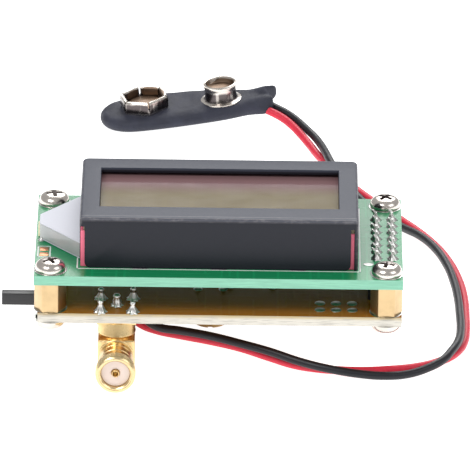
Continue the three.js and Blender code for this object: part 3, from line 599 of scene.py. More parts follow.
def all_finishes():
    colours = bpy.context.scene.counter_colours
    nickel, brass, gold = tuple(colours.nickel), tuple(colours.brass), tuple(colours.gold)
    return {
        "green": green_laminate(colours),
        "amber": amber_laminate(colours),
        "brass": metal("turned_brass", brass, 0.3, grain=(1, 1, 0.05), tarnish=0.35, texture=0.01),
        "rotor": metal("rotor_brass", darker(brass, 1.05), 0.28),
        "nickel": metal("nickel_plate", nickel, 0.2, tarnish=0.35, texture=0.006),
        "snap": snap_nickel(colours),
        # Darker metal for the screws' cross recesses: painted shade.
        "recess": metal("cross_recess_painted_shade", (0.3, 0.27, 0.26), 0.3),
        "gold": metal("gold_plate", gold, 0.27, tarnish=0.3, texture=0.006, dull=(0.62, 0.36, 0.1)),
        # A paler, whiter copy of the gold for the threaded ring: a painted reflection of its silvery shine.
        "pale": metal(
            "pale_gold_painted_reflection", (0.76, 0.6, 0.34), 0.26, tarnish=0.3, texture=0.006, dull=(0.5, 0.34, 0.14)
        ),
        "steel": metal("tinned_steel", (0.55, 0.55, 0.54), 0.3, grain=(0.1, 1, 1), texture=0.01),
        "solder": solder_metal(colours),
        "copper": bare_copper(),
        "paint": bezel_paint(colours),
        "display": display_panel(colours),
        "zebra": zebra_rubber(colours),
        "acrylic": clear_acrylic(),
        "film": paper_white(),
        "legend": paper_white("printed_legend", tuple(colours.legend)),
        "led": paper_white("led_package", (0.85, 0.8, 0.5)),
        "ptfe": paper_white("fluoropolymer", (0.85, 0.72, 0.66)),
        "plastic": moulded("black_plastic", (0.014, 0.014, 0.016), 0.38),
        "epoxy": moulded("black_epoxy", (0.022, 0.023, 0.027), 0.5, texture=0.02, scale=9.0),
        "resin": moulded("trimmer_resin", (0.6, 0.4, 0.14), 0.4, texture=0.02),
        "fibre": moulded("fibre_board", (0.16, 0.09, 0.04), 0.7, texture=0.03),
        "red": wire_vinyl("red_vinyl", tuple(colours.red_wire)),
        "black": wire_vinyl("black_vinyl", tuple(colours.black_wire)),
        "vinyl": soft_vinyl(colours),
        "sleeve": sleeve_plastic(),
        "diode": diode_glass(),
    }


FINISHES = {}


# ---------------------------------------------------------------- mesh building, in millimetres


def tidy(bm):
    bmesh.ops.remove_doubles(bm, verts=bm.verts, dist=1e-4)
    bmesh.ops.recalc_face_normals(bm, faces=bm.faces)
    return bm


def moved(bm, matrix):
    bmesh.ops.transform(bm, matrix=matrix, verts=bm.verts)
    if matrix.determinant() < 0:
        bmesh.ops.reverse_faces(bm, faces=bm.faces)
    return bm


def shifted(bm, x=0.0, y=0.0, z=0.0):
    return moved(bm, Matrix.Translation((x, y, z)))


def turned_over(bm, side):
    """The shape itself, or for side -1 the shape turned half round Z to the opposite row."""
    return moved(bm, Matrix.Rotation(math.pi, 4, "Z")) if side < 0 else bm


def bevelled(bm, width, segments=2, pick=None, angle=math.radians(30)):
    """Rounds the edges that pick accepts, or every edge sharper than angle."""

    def sharp(edge):
        return len(edge.link_faces) == 2 and edge.calc_face_angle(0) > angle

    edges = [e for e in bm.edges if (pick or sharp)(e)]
    bmesh.ops.bevel(
        bm, geom=edges, offset=width, offset_type="OFFSET", segments=segments, profile=0.5, affect="EDGES",
        material=-1, clamp_overlap=True,
    )
    return bm


def brick(low, high, bevel=0.0, segments=2):
    """A box between two corners, with rounded edges."""
    low, high = Vector(low), Vector(high)
    bm = bmesh.new()
    bmesh.ops.create_cube(bm, size=1.0)
    scale = Matrix.Diagonal((*(high - low), 1.0))
    moved(bm, Matrix.Translation((low + high) / 2) @ scale)
    return bevelled(bm, bevel, segments) if bevel else bm


def turned(profile, steps=48, place=None):
    """A solid of revolution about Z from (radius, height) points that start and end on the axis."""
    bm = bmesh.new()
    verts = [bm.verts.new((radius, 0, height)) for radius, height in profile]
    edges = [bm.edges.new(pair) for pair in zip(verts, verts[1:])]
    bmesh.ops.spin(
        bm, geom=verts + edges, cent=(0, 0, 0), axis=(0, 0, 1), angle=TAU, steps=steps, use_merge=True,
        use_duplicate=False,
    )
    tidy(bm)
    return moved(bm, place) if place else bm


def slab(outline, low, high, bevel=0.0, segments=2):
    """An upright prism on an outline."""
    bm = bmesh.new()
    face = bm.faces.new([bm.verts.new((x, y, low)) for x, y in outline])
    made = bmesh.ops.extrude_face_region(bm, geom=[face])
    risen = [v for v in made["geom"] if isinstance(v, bmesh.types.BMVert)]
    bmesh.ops.translate(bm, vec=(0, 0, high - low), verts=risen)
    tidy(bm)
    return bevelled(bm, bevel, segments) if bevel else bm


def gathered(parts):
    """One bmesh holding all the parts, which are freed."""
    whole = bmesh.new()
    for part in parts:
        mesh = bpy.data.meshes.new("part")
        part.to_mesh(mesh)
        part.free()
        whole.from_mesh(mesh)
        bpy.data.meshes.remove(mesh)
    return whole


def ghost(bm):
    mesh = bpy.data.meshes.new("ghost")
    bm.to_mesh(mesh)
    bm.free()
    made = bpy.data.objects.new("ghost", mesh)
    bpy.context.scene.collection.objects.link(made)
    return made


def carved(bm, cutter, operation="DIFFERENCE"):
    """The first shape less the second, or joined to it."""
    target, tool = ghost(bm), ghost(cutter)
    modifier = target.modifiers.new("cut", "BOOLEAN")
    modifier.operation = operation
    modifier.solver = "EXACT"
    modifier.use_self = True
    modifier.object = tool
    graph = bpy.context.evaluated_depsgraph_get()
    mesh = bpy.data.meshes.new_from_object(target.evaluated_get(graph))
    result = bmesh.new()
    result.from_mesh(mesh)
    for item in (target, tool):
        data = item.data
        bpy.data.objects.remove(item)
        bpy.data.meshes.remove(data)
    bpy.data.meshes.remove(mesh)
    return result


def copied(node):
    """A node's own mesh with its triangles joined up, in millimetres."""
    bm = bmesh.new()
    bm.from_mesh(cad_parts[node].data)
    moved(bm, Matrix.Scale(1 / MM, 4))
    bmesh.ops.remove_doubles(bm, verts=bm.verts, dist=1e-3)
    bmesh.ops.dissolve_limit(bm, angle_limit=math.radians(1), verts=bm.verts, edges=bm.edges)
    return bm


def piece(name, bm, finishes, body="module", replaces=(), sharp=35.0):
    """Turns a bmesh in millimetres into a finished piece in metres that rides on a body."""
    moved(bm, Matrix.Scale(MM, 4))
    mesh = bpy.data.meshes.new(name)
    bm.to_mesh(mesh)
    bm.free()
    for finish in [finishes] if isinstance(finishes, str) else finishes:
        mesh.materials.append(FINISHES[finish])
    mesh.shade_smooth()
    mesh.set_sharp_from_angle(angle=math.radians(sharp))
    made = bpy.data.objects.new(name, mesh)
    bpy.context.scene.collection.objects.link(made)
    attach(made, body)
    if replaces:
        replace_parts(made, *replaces)
    return made


def softened(node, finish, width=0.06, body="module"):
    """Stands for a node with the same shape and small rounded edges."""
    made = piece(node + "_finished", copied(node), finish, body, (node,))
    bevel = made.modifiers.new("edges", "BEVEL")
    bevel.width = width * MM
    bevel.segments = 2
    bevel.limit_method = "ANGLE"
    bevel.angle_limit = math.radians(40)
    return made


def paint_node(node, finish):
    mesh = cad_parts[node].data
    mesh.materials.clear()
    mesh.materials.append(FINISHES[finish])


def ring_points(radius, count, start=0.0):
    angles = [start + TAU * i / count for i in range(count)]
    return [(radius * math.cos(angle), radius * math.sin(angle)) for angle in angles]


def smooth_outline(points, steps=4):
    """Points on a closed smooth curve through the given ones."""
    found = []
    count = len(points)
    for i in range(count):
        p0, p1, p2, p3 = (Vector(points[(i + k) % count]) for k in (-1, 0, 1, 2))
        for step in range(steps):
            t = step / steps
            point = 0.5 * ((2 * p1) + (p2 - p0) * t + (2 * p0 - 5 * p1 + 4 * p2 - p3) * t * t
                           + (3 * p1 - p0 - 3 * p2 + p3) * t ** 3)
            found.append(tuple(point))
    return found


class CounterStep:
    """Shared by the operators: builds its pieces and reports success."""

    bl_options = {"REGISTER", "UNDO"}

    def execute(self, context):
        self.build(context.scene.counter_sizes)
        return {"FINISHED"}


# ---------------------------------------------------------------- stage


class COUNTER_OT_stage(bpy.types.Operator):
    """Adds the floor, the lamps and the camera"""

    bl_idname = "counter.stage"
    bl_label = "Stage"

    def execute(self, context):
        stage = context.scene.counter_stage
        self.floor(tuple(stage.floor))
        self.lamps(context.scene, stage.lamp)
        self.camera(context.scene, stage)
        return {"FINISHED"}

    def floor(self, shade):
        finish = Finish("floor_paper", Roughness=0.9, Emission_Color=(1.0, 1.0, 1.0), Emission_Strength=1.0)
        finish.feed("Base Color", finish.mix(finish.noise(0.01, 2) * 0.3, shade, darker(shade, 0.99)))
        bm = bmesh.new()
        bmesh.ops.create_grid(bm, x_segments=1, y_segments=1, size=6.0)
        mesh = bpy.data.meshes.new("floor")
        bm.to_mesh(mesh)
        bm.free()
        mesh.materials.append(finish.material)
        made = bpy.data.objects.new("floor", mesh)
        made.location.z = -0.00005
        bpy.context.scene.collection.objects.link(made)

    def lamps(self, scene, power):
        world = bpy.data.worlds.new("studio")
        world.use_nodes = True
        background = world.node_tree.nodes["Background"]
        background.inputs["Color"].default_value = (1.0, 1.0, 1.0, 1.0)
        background.inputs["Strength"].default_value = 0.5
        scene.world = world
        for name, place, size, share in (
            ("key_lamp", (-0.5, -0.55, 0.9), 0.5, 1.0),
            ("fill_lamp", (0.75, -0.45, 0.7), 0.6, 0.4),
            ("back_lamp", (0.1, 0.9, 0.8), 0.7, 1.4),
        ):
            lamp = bpy.data.lights.new(name, "AREA")
            lamp.energy = power * share
            lamp.size = size
            made = bpy.data.objects.new(name, lamp)
            made.location = place
            made.rotation_euler = (-Vector(place)).to_track_quat("-Z", "Y").to_euler()
            scene.collection.objects.link(made)
        scene.view_settings.view_transform = "Standard"

    def camera(self, scene, stage):
        lens = bpy.data.cameras.new("camera")
        lens.lens = stage.lens
        made = bpy.data.objects.new("camera", lens)
        target = (CENTRE + TARGET) * MM
        tilt = Euler((math.pi / 2 - stage.elevation, 0, 0)).to_matrix().to_4x4()
        roll = Matrix.Rotation(stage.roll, 4, "Z")
        back = Matrix.Translation((0, 0, stage.distance))
        made.matrix_world = Matrix.Translation(target) @ tilt @ back @ roll
        scene.collection.objects.link(made)
        scene.camera = made


# ---------------------------------------------------------------- wires and battery snap


def snap_place():
    """The battery snap's own plane: its origin is under the socket, X runs to the stud."""
    turn = Euler((0, 0, math.radians(SNAP_TURN))).to_matrix().to_4x4()
    tilt = Euler((0, -math.radians(SNAP_TILT), 0)).to_matrix().to_4x4()
    return Matrix.Translation(CENTRE + SNAP_ORIGIN) @ turn @ tilt


class COUNTER_OT_wires(CounterStep, bpy.types.Operator):
    """Lays the red and black wires along their routes"""

    bl_idname = "counter.wires"
    bl_label = "Wires"

    def build(self, sizes):
        for name, route, finish, slot in (
            ("wire_red", RED_ROUTE, "red", "red_vinyl"),
            ("wire_black", BLACK_ROUTE, "black", "black_vinyl"),
        ):
            self.lay(name, route, finish, slot, sizes.wire * MM)

    def lay(self, name, route, finish, slot, diameter):
        points = [(CENTRE + Vector(p)) * MM for p in route]
        line = bpy.data.curves.new(name + "_insulation", "CURVE")
        line.dimensions = "3D"
        line.resolution_u = 6
        line.bevel_depth = diameter / 2
        line.bevel_resolution = 5
        line.use_fill_caps = True
        spline = line.splines.new("BEZIER")
        spline.bezier_points.add(len(points) - 1)
        for knot, point in zip(spline.bezier_points, points):
            knot.co = point
            knot.handle_left_type = "AUTO"
            knot.handle_right_type = "AUTO"
        line.materials.append(FINISHES[finish])
        made = bpy.data.objects.new(name + "_insulation", line)
        bpy.context.scene.collection.objects.link(made)
        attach(made, "module")
        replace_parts(made, name)


class COUNTER_OT_snap_cover(CounterStep, bpy.types.Operator):
    """Models the soft vinyl cover of the battery snap"""

    bl_idname = "counter.snap_cover"
    bl_label = "Snap cover"

    def build(self, sizes):
        rim = [Vector(point) for point in smooth_outline(COVER_OUTLINE, 6)]
        levels = (
            (0.84, -2.38), (0.6, -2.38), (0.35, -2.36), (0.18, -2.26), (0.08, -2.02), (0.02, -1.6),
            (0.0, -1.15),
            (0.02, -0.7), (0.07, -0.34), (0.14, -0.1), (0.24, 0.06), (0.36, 0.14), (0.48, 0.17), (0.6, 0.18),
            (0.72, 0.18), (0.84, 0.18),
        )
        bm = bmesh.new()
        rings = [
            [bm.verts.new(self.inward(point, share, height)) for point in rim] for share, height in levels
        ]
        for lower, upper in zip(rings, rings[1:]):
            for i, start in enumerate(lower):
                j = (i + 1) % len(lower)
                bm.faces.new((start, lower[j], upper[j], upper[i]))
        caps = [bm.faces.new(list(reversed(rings[0]))), bm.faces.new(rings[-1])]
        bmesh.ops.triangulate(bm, faces=caps)
        for vert in bm.verts:
            self.soften(vert.co)
        tidy(bm)
        moved(bm, snap_place())
        piece("snap_cover_skin", bm, "vinyl", replaces=("snap_cover", "snap_plate"), sharp=80)

    @staticmethod
    def inward(point, share, height):
        """A rim point drawn a share of the way to the cover's spine, at a height."""
        spine = Vector((min(max(point.x, -2.0), 19.0), 0.4 + 0.03 * point.x))
        return (*point.lerp(spine, share), height)

    @staticmethod
    def soften(co):
        """Presses the embossed arch, the wires' two ridges, creases and the ragged end into the skin."""
        x, y = co.x, co.y - 0.4
        if co.z > -0.9:
            radius = math.hypot((x - 6.5) / 3.4, y / 3.9)
            co.z += 0.26 * math.exp(-((radius - 1.0) / 0.16) ** 2) - 0.12 * math.exp(-(radius / 0.8) ** 4)
            reach = min(max((x - 15.5) / 4.5, 0.0), 1.0)
            for centre in (-1.9, 1.7):
                co.z += 0.42 * reach * math.exp(-((y - centre) / 0.85) ** 2)
            co.z -= 0.25 * reach * math.exp(-(y / 0.5) ** 2)
            co.z += 0.05 * math.sin(x * 1.3 + y * 0.8) + 0.04 * math.sin(y * 2.1 - x * 0.7)
        waist = math.exp(-((x - 17.6) / 2.2) ** 2)
        co.y = 0.4 + y * (1 - 0.16 * waist)
        far = max(0.0, (x - 18.0) / 4.0)
        co.x += 0.22 * far * math.sin(y * 2.6 + 0.7)
        co.z += far * (0.2 + 0.1 * y + 0.12 * math.sin(y * 1.9))


class COUNTER_OT_snap_contacts(CounterStep, bpy.types.Operator):
    """Models the snap's hexagonal socket and round stud"""

    bl_idname = "counter.snap_contacts"
    bl_label = "Snap contacts"

    def build(self, sizes):
        place = snap_place()
        piece(
            "snap_socket_contact", moved(self.socket(), place), "snap",
            replaces=("snap_socket",),
        )
        stud = shifted(self.stud(), x=SNAP_PITCH)
        piece("snap_stud_contact", moved(stud, place), "snap", replaces=("snap_stud",))

    def socket(self):
        """A six-sided cup of thin sheet with its rim rolled in and its corners slit."""
        loops = ((3.15, 0.05), (4.1, 0.1), (4.3, 0.35), (4.35, 1.7), (4.3, 2.15), (4.05, 2.4), (3.7, 2.4),
                 (3.45, 2.2), (3.35, 1.8), (3.5, 0.7))
        bm = bmesh.new()
        rings = []
        for radius, height in loops:
            rings.append([bm.verts.new((x, y, height)) for x, y in self.hexagon(radius, SOCKET_TURN)])
        for lower, upper in zip(rings, rings[1:]):
            for i in range(len(lower)):
                j = (i + 1) % len(lower)
                bm.faces.new((lower[i], lower[j], upper[j], upper[i]))
        bm.faces.new(list(reversed(rings[0])))
        bm.faces.new(rings[-1])
        tidy(bm)
        for k in range(6):
            angle = SOCKET_TURN + TAU * k / 6
            cutter = brick((2.6, -0.14, 0.9), (5.2, 0.14, 3.2))
            moved(cutter, Matrix.Rotation(angle, 4, "Z"))
            bm = carved(bm, cutter)
        floor = turned(((0, 0.75), (2.6, 0.75), (2.9, 0.95), (2.4, 1.15), (1.2, 1.0), (0, 1.3)), 24)
        return gathered([bm, floor])

    @staticmethod
    def hexagon(radius, start, per_side=4):
        corners = [Vector(p) for p in ring_points(radius, 6, start)]
        return [
            tuple(corners[k].lerp(corners[(k + 1) % 6], 0.04 + 0.92 * s / (per_side - 1)))
            for k in range(6)
            for s in range(per_side)
        ]

    def stud(self):
        """A drawn cup with a flange below and a rolled rim."""
        return turned((
            (0, -0.4), (1.4, -0.4), (1.5, 0.05), (3.35, 0.05), (3.45, 0.15), (3.42, 0.32), (3.1, 0.42),
            (2.8, 0.6), (2.66, 0.95), (2.64, 2.2), (2.7, 2.5), (2.8, 2.75), (2.84, 3.0), (2.76, 3.22),
            (2.6, 3.3), (2.44, 3.24), (2.36, 3.05), (2.32, 2.6), (2.2, 2.35), (1.9, 2.25), (0, 2.25),
        ), 56)


# ---------------------------------------------------------------- boards


class COUNTER_OT_boards(CounterStep, bpy.types.Operator):
    """Finishes the two boards and adds their pads and printed lines"""

    bl_idname = "counter.boards"
    bl_label = "Boards"

    def build(self, sizes):
        paint_node("upper_board", "green")
        paint_node("lower_board", "amber")
        self.legend(sizes.legend_line)
        self.pads()

    def legend(self, line):
        low, high = node_box("lcd_bezel")
        top = UPPER_HIGH.z
        frames = [(low.x - 0.45, low.y - 0.45, high.x + 0.45, high.y + 0.45)]
        jumper = CENTRE + Vector((-27.6, -6.45, 0))
        frames.append((jumper.x - 1.05, jumper.y - 2.15, jumper.x + 1.05, jumper.y + 2.15))
        strips = []
        for x0, y0, x1, y1 in frames:
            strips += [
                brick((x0, y0, top), (x1, y0 + line, top + 0.02)),
                brick((x0, y1 - line, top), (x1, y1, top + 0.02)),
                brick((x0, y0, top), (x0 + line, y1, top + 0.02)),
                brick((x1 - line, y0, top), (x1, y1, top + 0.02)),
            ]
        piece("board_legend", gathered(strips), "legend")

    def pads(self):
        lands = []
        for corner in CORNERS:
            at = middle("standoff_" + corner)
            for face, lift in ((UPPER_HIGH.z, 1), (UPPER_LOW.z, -1), (LOWER_HIGH.z, 1), (LOWER_LOW.z, -1)):
                ring = turned(((1.3, 0), (2.65, 0), (2.6, 0.03), (1.35, 0.03), (1.3, 0)), 40)
                turn = Matrix.Identity(4) if lift > 0 else Matrix.Rotation(math.pi, 4, "X")
                lands.append(moved(ring, Matrix.Translation((at.x, at.y, face)) @ turn))
        oval = slab([(x * 1.5 + 0.0, y) for x, y in ring_points(0.55, 20)], 0, 0.06, 0.02)
        lands.append(shifted(oval, CENTRE.x + 23.6, CENTRE.y - 9.87, UPPER_HIGH.z))
        piece("tinned_lands", gathered(lands), "solder")
        jumper = CENTRE + Vector((-27.6, -6.45, UPPER_HIGH.z))
        bare = [
            brick(jumper + Vector((-0.7, side - 0.7, 0)), jumper + Vector((0.7, side + 0.7, 0.04)), 0.015)
            for side in (-1.0, 1.0)
        ]
        piece("bare_copper_pads", gathered(bare), "copper")


def cone(radius, tip, height, steps=20):
    """A solder fillet that climbs a pin."""
    waist = tip + (radius - tip) * 0.28
    return turned((
        (0, -0.02), (radius, -0.02), (radius * 0.96, 0.05), (tip + (radius - tip) * 0.62, height * 0.16),
        (waist, height * 0.42), (tip * 1.12, height * 0.85), (tip * 0.8, height * 0.98), (0, height),
    ), steps)


def jack_legs():
    """Where the jack's four legs stand, from left to right and front to back."""
    return [(JACK_X + sx * PITCH, stem_y() + sy * PITCH, sx * sy) for sx in (-1, 1) for sy in (-1, 1)]


def draped(radius, tip, height, steps=36):
    """A tall solder joint: a ridged skirt under a rounded knob."""
    neck = height * 0.66
    bm = turned((
        (0, -0.02), (radius, -0.02), (radius, 0.04), (radius * 0.86, 0.14), (radius * 0.68, height * 0.2),
        (tip * 1.15, height * 0.42), (tip * 0.82, neck), (tip, neck + 0.14), (tip * 1.02, height - 0.3),
        (tip * 0.8, height - 0.12), (tip * 0.4, height - 0.02), (0, height),
    ), steps)
    for vert in bm.verts:
        x, y, z = vert.co
        ridge = 1 + 0.16 * math.cos(7 * math.atan2(y, x)) * max(0.0, 1 - z / neck)
        vert.co.x *= ridge
        vert.co.y *= ridge
    return bm


class COUNTER_OT_solder(CounterStep, bpy.types.Operator):
    """Adds the solder joints on both boards"""

    bl_idname = "counter.solder"
    bl_label = "Solder joints"

    def build(self, sizes):
        self.header_joints()
        self.jack_joints()
        self.through_joints()
        self.wire_joints()

    def header_joints(self):
        joints = []
        for number in range(1, HEADER_PINS + 1):
            at = middle(f"header_pin_{number:02d}")
            height = 1.35 + 0.15 * math.sin(number * 2.3)
            joints.append(shifted(self.spike(height, number), at.x, at.y, UPPER_HIGH.z))
            below = moved(cone(0.9, 0.42, 0.8), Matrix.Rotation(math.pi, 4, "X"))
            joints.append(shifted(below, at.x, at.y, LOWER_LOW.z))
        at = CENTRE + Vector((-28.1, -1.9, UPPER_HIGH.z))
        joints.append(shifted(cone(0.6, 0.25, 0.5), *at))
        piece("header_solder", gathered(joints), "solder", sharp=60)

    @staticmethod
    def spike(height, number):
        """A lumpy joint whose point leans to the left."""
        bm = draped(0.88, 0.3, height + 0.45, 20)
        lean = 0.32 + 0.1 * math.sin(number * 1.7)
        for vert in bm.verts:
            vert.co.x -= lean * (vert.co.z / height) ** 2
            vert.co.y += 0.06 * math.sin(number * 2.9) * vert.co.z
        return bm

    def jack_joints(self):
        """Four spiky cones on the jack's legs and one on its tail."""
        joints = []
        for x, y, sign in jack_legs():
            joints.append(shifted(draped(1.02, 0.44, 2.0 + 0.1 * sign), x, y))
        joints.append(shifted(draped(0.95, 0.6, 2.0), JACK_X, stem_y(), 0))
        piece("jack_solder", shifted(gathered(joints), z=LOWER_HIGH.z), "solder", sharp=60)

    def through_joints(self):
        """The 2 x 3 filled holes, and the joints of the parts mounted under the lower board."""
        joints = []
        for column in range(3):
            for row in range(2):
                dome = turned(((0, 0), (0.85, 0), (0.8, 0.06), (0.5, 0.14), (0, 0.16)), 20)
                at = CENTRE + Vector((16.05 + column * PITCH, -12.85 + row * PITCH, LOWER_HIGH.z))
                joints.append(shifted(dome, *at))
        chip = middle("microcontroller")
        spots = [
            (chip.x + (i - 6.5) * PITCH, chip.y + side * 3.81)
            for i in range(CHIP_PINS_A_SIDE)
            for side in (-1, 1)
        ]
        for name, offsets in (
            ("crystal", ((-2.44, 0), (2.44, 0))),
            ("voltage_regulator", ((-1.27, 0), (0, 0), (1.27, 0))),
            ("electrolytic_capacitor", ((-1.0, 0), (1.0, 0))),
            ("supply_diode", ((-3.4, 0), (3.4, 0))),
            ("trimmer_base", ((-2.0, 0), (2.0, 0))),
            ("switch_frame", ((1.2, -2.5), (1.2, 0), (1.2, 2.5))),
        ):
            at = middle(name)
            spots += [(at.x + dx, at.y + dy) for dx, dy in offsets]
        for x, y in spots:
            joints.append(shifted(cone(0.75, 0.3, 0.75, 14), x, y, LOWER_HIGH.z))
        piece("lower_board_solder", gathered(joints), "solder", sharp=60)

    def wire_joints(self):
        joints = []
        for route in (RED_ROUTE, BLACK_ROUTE):
            start = CENTRE + Vector(route[0])
            towards = (Vector(route[0]) - Vector(route[1])).normalized()
            blob = moved(cone(1.25, 0.6, 0.75), Matrix.Rotation(math.pi, 4, "X"))
            joints.append(shifted(blob, start.x + towards.x * 0.4, start.y + towards.y * 0.4, LOWER_LOW.z))
        piece("wire_solder", gathered(joints), "solder", sharp=60)


def stem_y():
    """How far back the jack's post stands: its foot plate reaches 3.1 mm behind it."""
    return JACK_HIGH.y - 3.1


# ---------------------------------------------------------------- fasteners


class COUNTER_OT_screws(CounterStep, bpy.types.Operator):
    """Models the eight cross-recessed screws"""

    bl_idname = "counter.screws"
    bl_label = "Screws"

    def build(self, sizes):
        turns = (0.5, 1.25, 0.15, 0.9, 0.3, 1.1, 0.7, 0.05)
        names = [f"{side}_screw_{corner}" for side in ("top", "bottom") for corner in CORNERS]
        for name, turn in zip(names, turns):
            at = middle(name)
            upright = name.startswith("top")
            seat = UPPER_HIGH.z if upright else LOWER_LOW.z
            flip = Matrix.Identity(4) if upright else Matrix.Rotation(math.pi, 4, "X")
            place = Matrix.Translation((at.x, at.y, seat)) @ flip @ Matrix.Rotation(turn, 4, "Z")
            bm = moved(self.screw(sizes), place)
            # The second finish is the painted shade in the cross recess.
            piece(name + "_machined", bm, ("nickel", "recess"), replaces=(name,))

    def screw(self, sizes):
        profile = [(0, -3.85), (0.95, -3.85)]
        pitch, crest, root = 0.45, 1.24, 1.02
        for turn in range(8):
            base = -3.7 + turn * pitch
            profile += [(root, base), (crest, base + pitch / 2)]
        profile += [(root, -0.1), (1.24, 0.0), (2.3, 0.0), (2.4, 0.1), (2.4, 0.42), (2.34, 0.74), (2.2, 1.02),
                    (1.95, 1.28), (1.6, 1.46), (1.2, 1.57), (0.6, 1.63), (0, 1.64)]
        bm = turned(profile, 48)
        for turn in (0, math.pi / 2):
            bm = carved(bm, self.wing(sizes, turn))
        # Faces within the cross recess take the second, darker finish: painted shade.
        for face in bm.faces:
            centre = face.calc_center_median()
            within = math.hypot(centre.x, centre.y)
            if centre.z > 0 and within < sizes.recess_span / 2 and abs(face.normal.z) < 0.85:
                face.material_index = 1
        return bm

    def wing(self, sizes, turn):
        """One tapered wing of the cross-shaped driver tip."""
        top = 1.9
        bottom = top - 0.25 - sizes.recess_depth
        half = sizes.recess_span / 2
        bm = brick((-half, -0.4, bottom), (half, 0.4, top))
        for vert in bm.verts:
            if vert.co.z < bottom + 0.1:
                vert.co.x *= 0.3
                vert.co.y *= 0.4
        return moved(bm, Matrix.Rotation(turn, 4, "Z"))


class COUNTER_OT_standoffs(CounterStep, bpy.types.Operator):
    """Models the four hexagonal brass standoffs"""

    bl_idname = "counter.standoffs"
    bl_label = "Standoffs"

    def build(self, sizes):
        for corner in CORNERS:
            name = "standoff_" + corner
            at = middle(name)
            bm = self.standoff()
            piece(name + "_turned", shifted(bm, at.x, at.y), "brass", replaces=(name,))

    def standoff(self):
        low, high = LOWER_HIGH.z, UPPER_LOW.z
        hexagon = ring_points(2.2 / math.cos(math.pi / 6), 6)
        bm = slab(hexagon, low, high)
        bevelled(bm, 0.09, 2, lambda e: abs(e.verts[0].co.z - e.verts[1].co.z) > 1)
        turned_ends = turned((
            (0, low), (2.3, low), (2.62, low + 0.2), (2.62, high - 0.2), (2.3, high), (0, high),
        ), 48)
        bm = carved(bm, turned_ends, "INTERSECT")
        bore = turned(((0, low - 1), (1.32, low - 1), (1.32, high + 1), (0, high + 1)), 32)
        return carved(bm, bore)


class COUNTER_OT_header(CounterStep, bpy.types.Operator):
    """Models the pin header: its notched body and fourteen square pins"""

    bl_idname = "counter.header"
    bl_label = "Header"

    def build(self, sizes):
        low, high = node_box("header_body")
        notch = 0.35
        side = []
        for segment in range(7):
            start = -3.5 * PITCH + segment * PITCH
            side += [(PITCH - notch, start), (PITCH, start + notch), (PITCH, start + PITCH - notch)]
        side.append((PITCH - notch, 3.5 * PITCH))
        outline = side + [(-x, y) for x, y in reversed(side)]
        centre = (low + high) / 2
        bm = slab([(centre.x + x, centre.y + y) for x, y in outline], low.z, high.z)
        piece("header_block", bm, "plastic", replaces=("header_body",))
        for number in range(1, HEADER_PINS + 1):
            name = f"header_pin_{number:02d}"
            pin_low, pin_high = node_box(name)
            piece(name + "_square", self.pin(pin_low, pin_high), "solder", replaces=(name,))

    def pin(self, low, high):
        taper = 0.35
        reach = Vector((0.06, 0.06, taper))
        bm = brick(low + reach, high - Vector((0.06, 0.06, taper + 0.25)))
        for face in [f for f in bm.faces if abs(f.normal.z) > 0.9]:
            bmesh.ops.inset_individual(bm, faces=[face], thickness=0.14, depth=taper)
        bm.normal_update()
        return bm


# ---------------------------------------------------------------- display


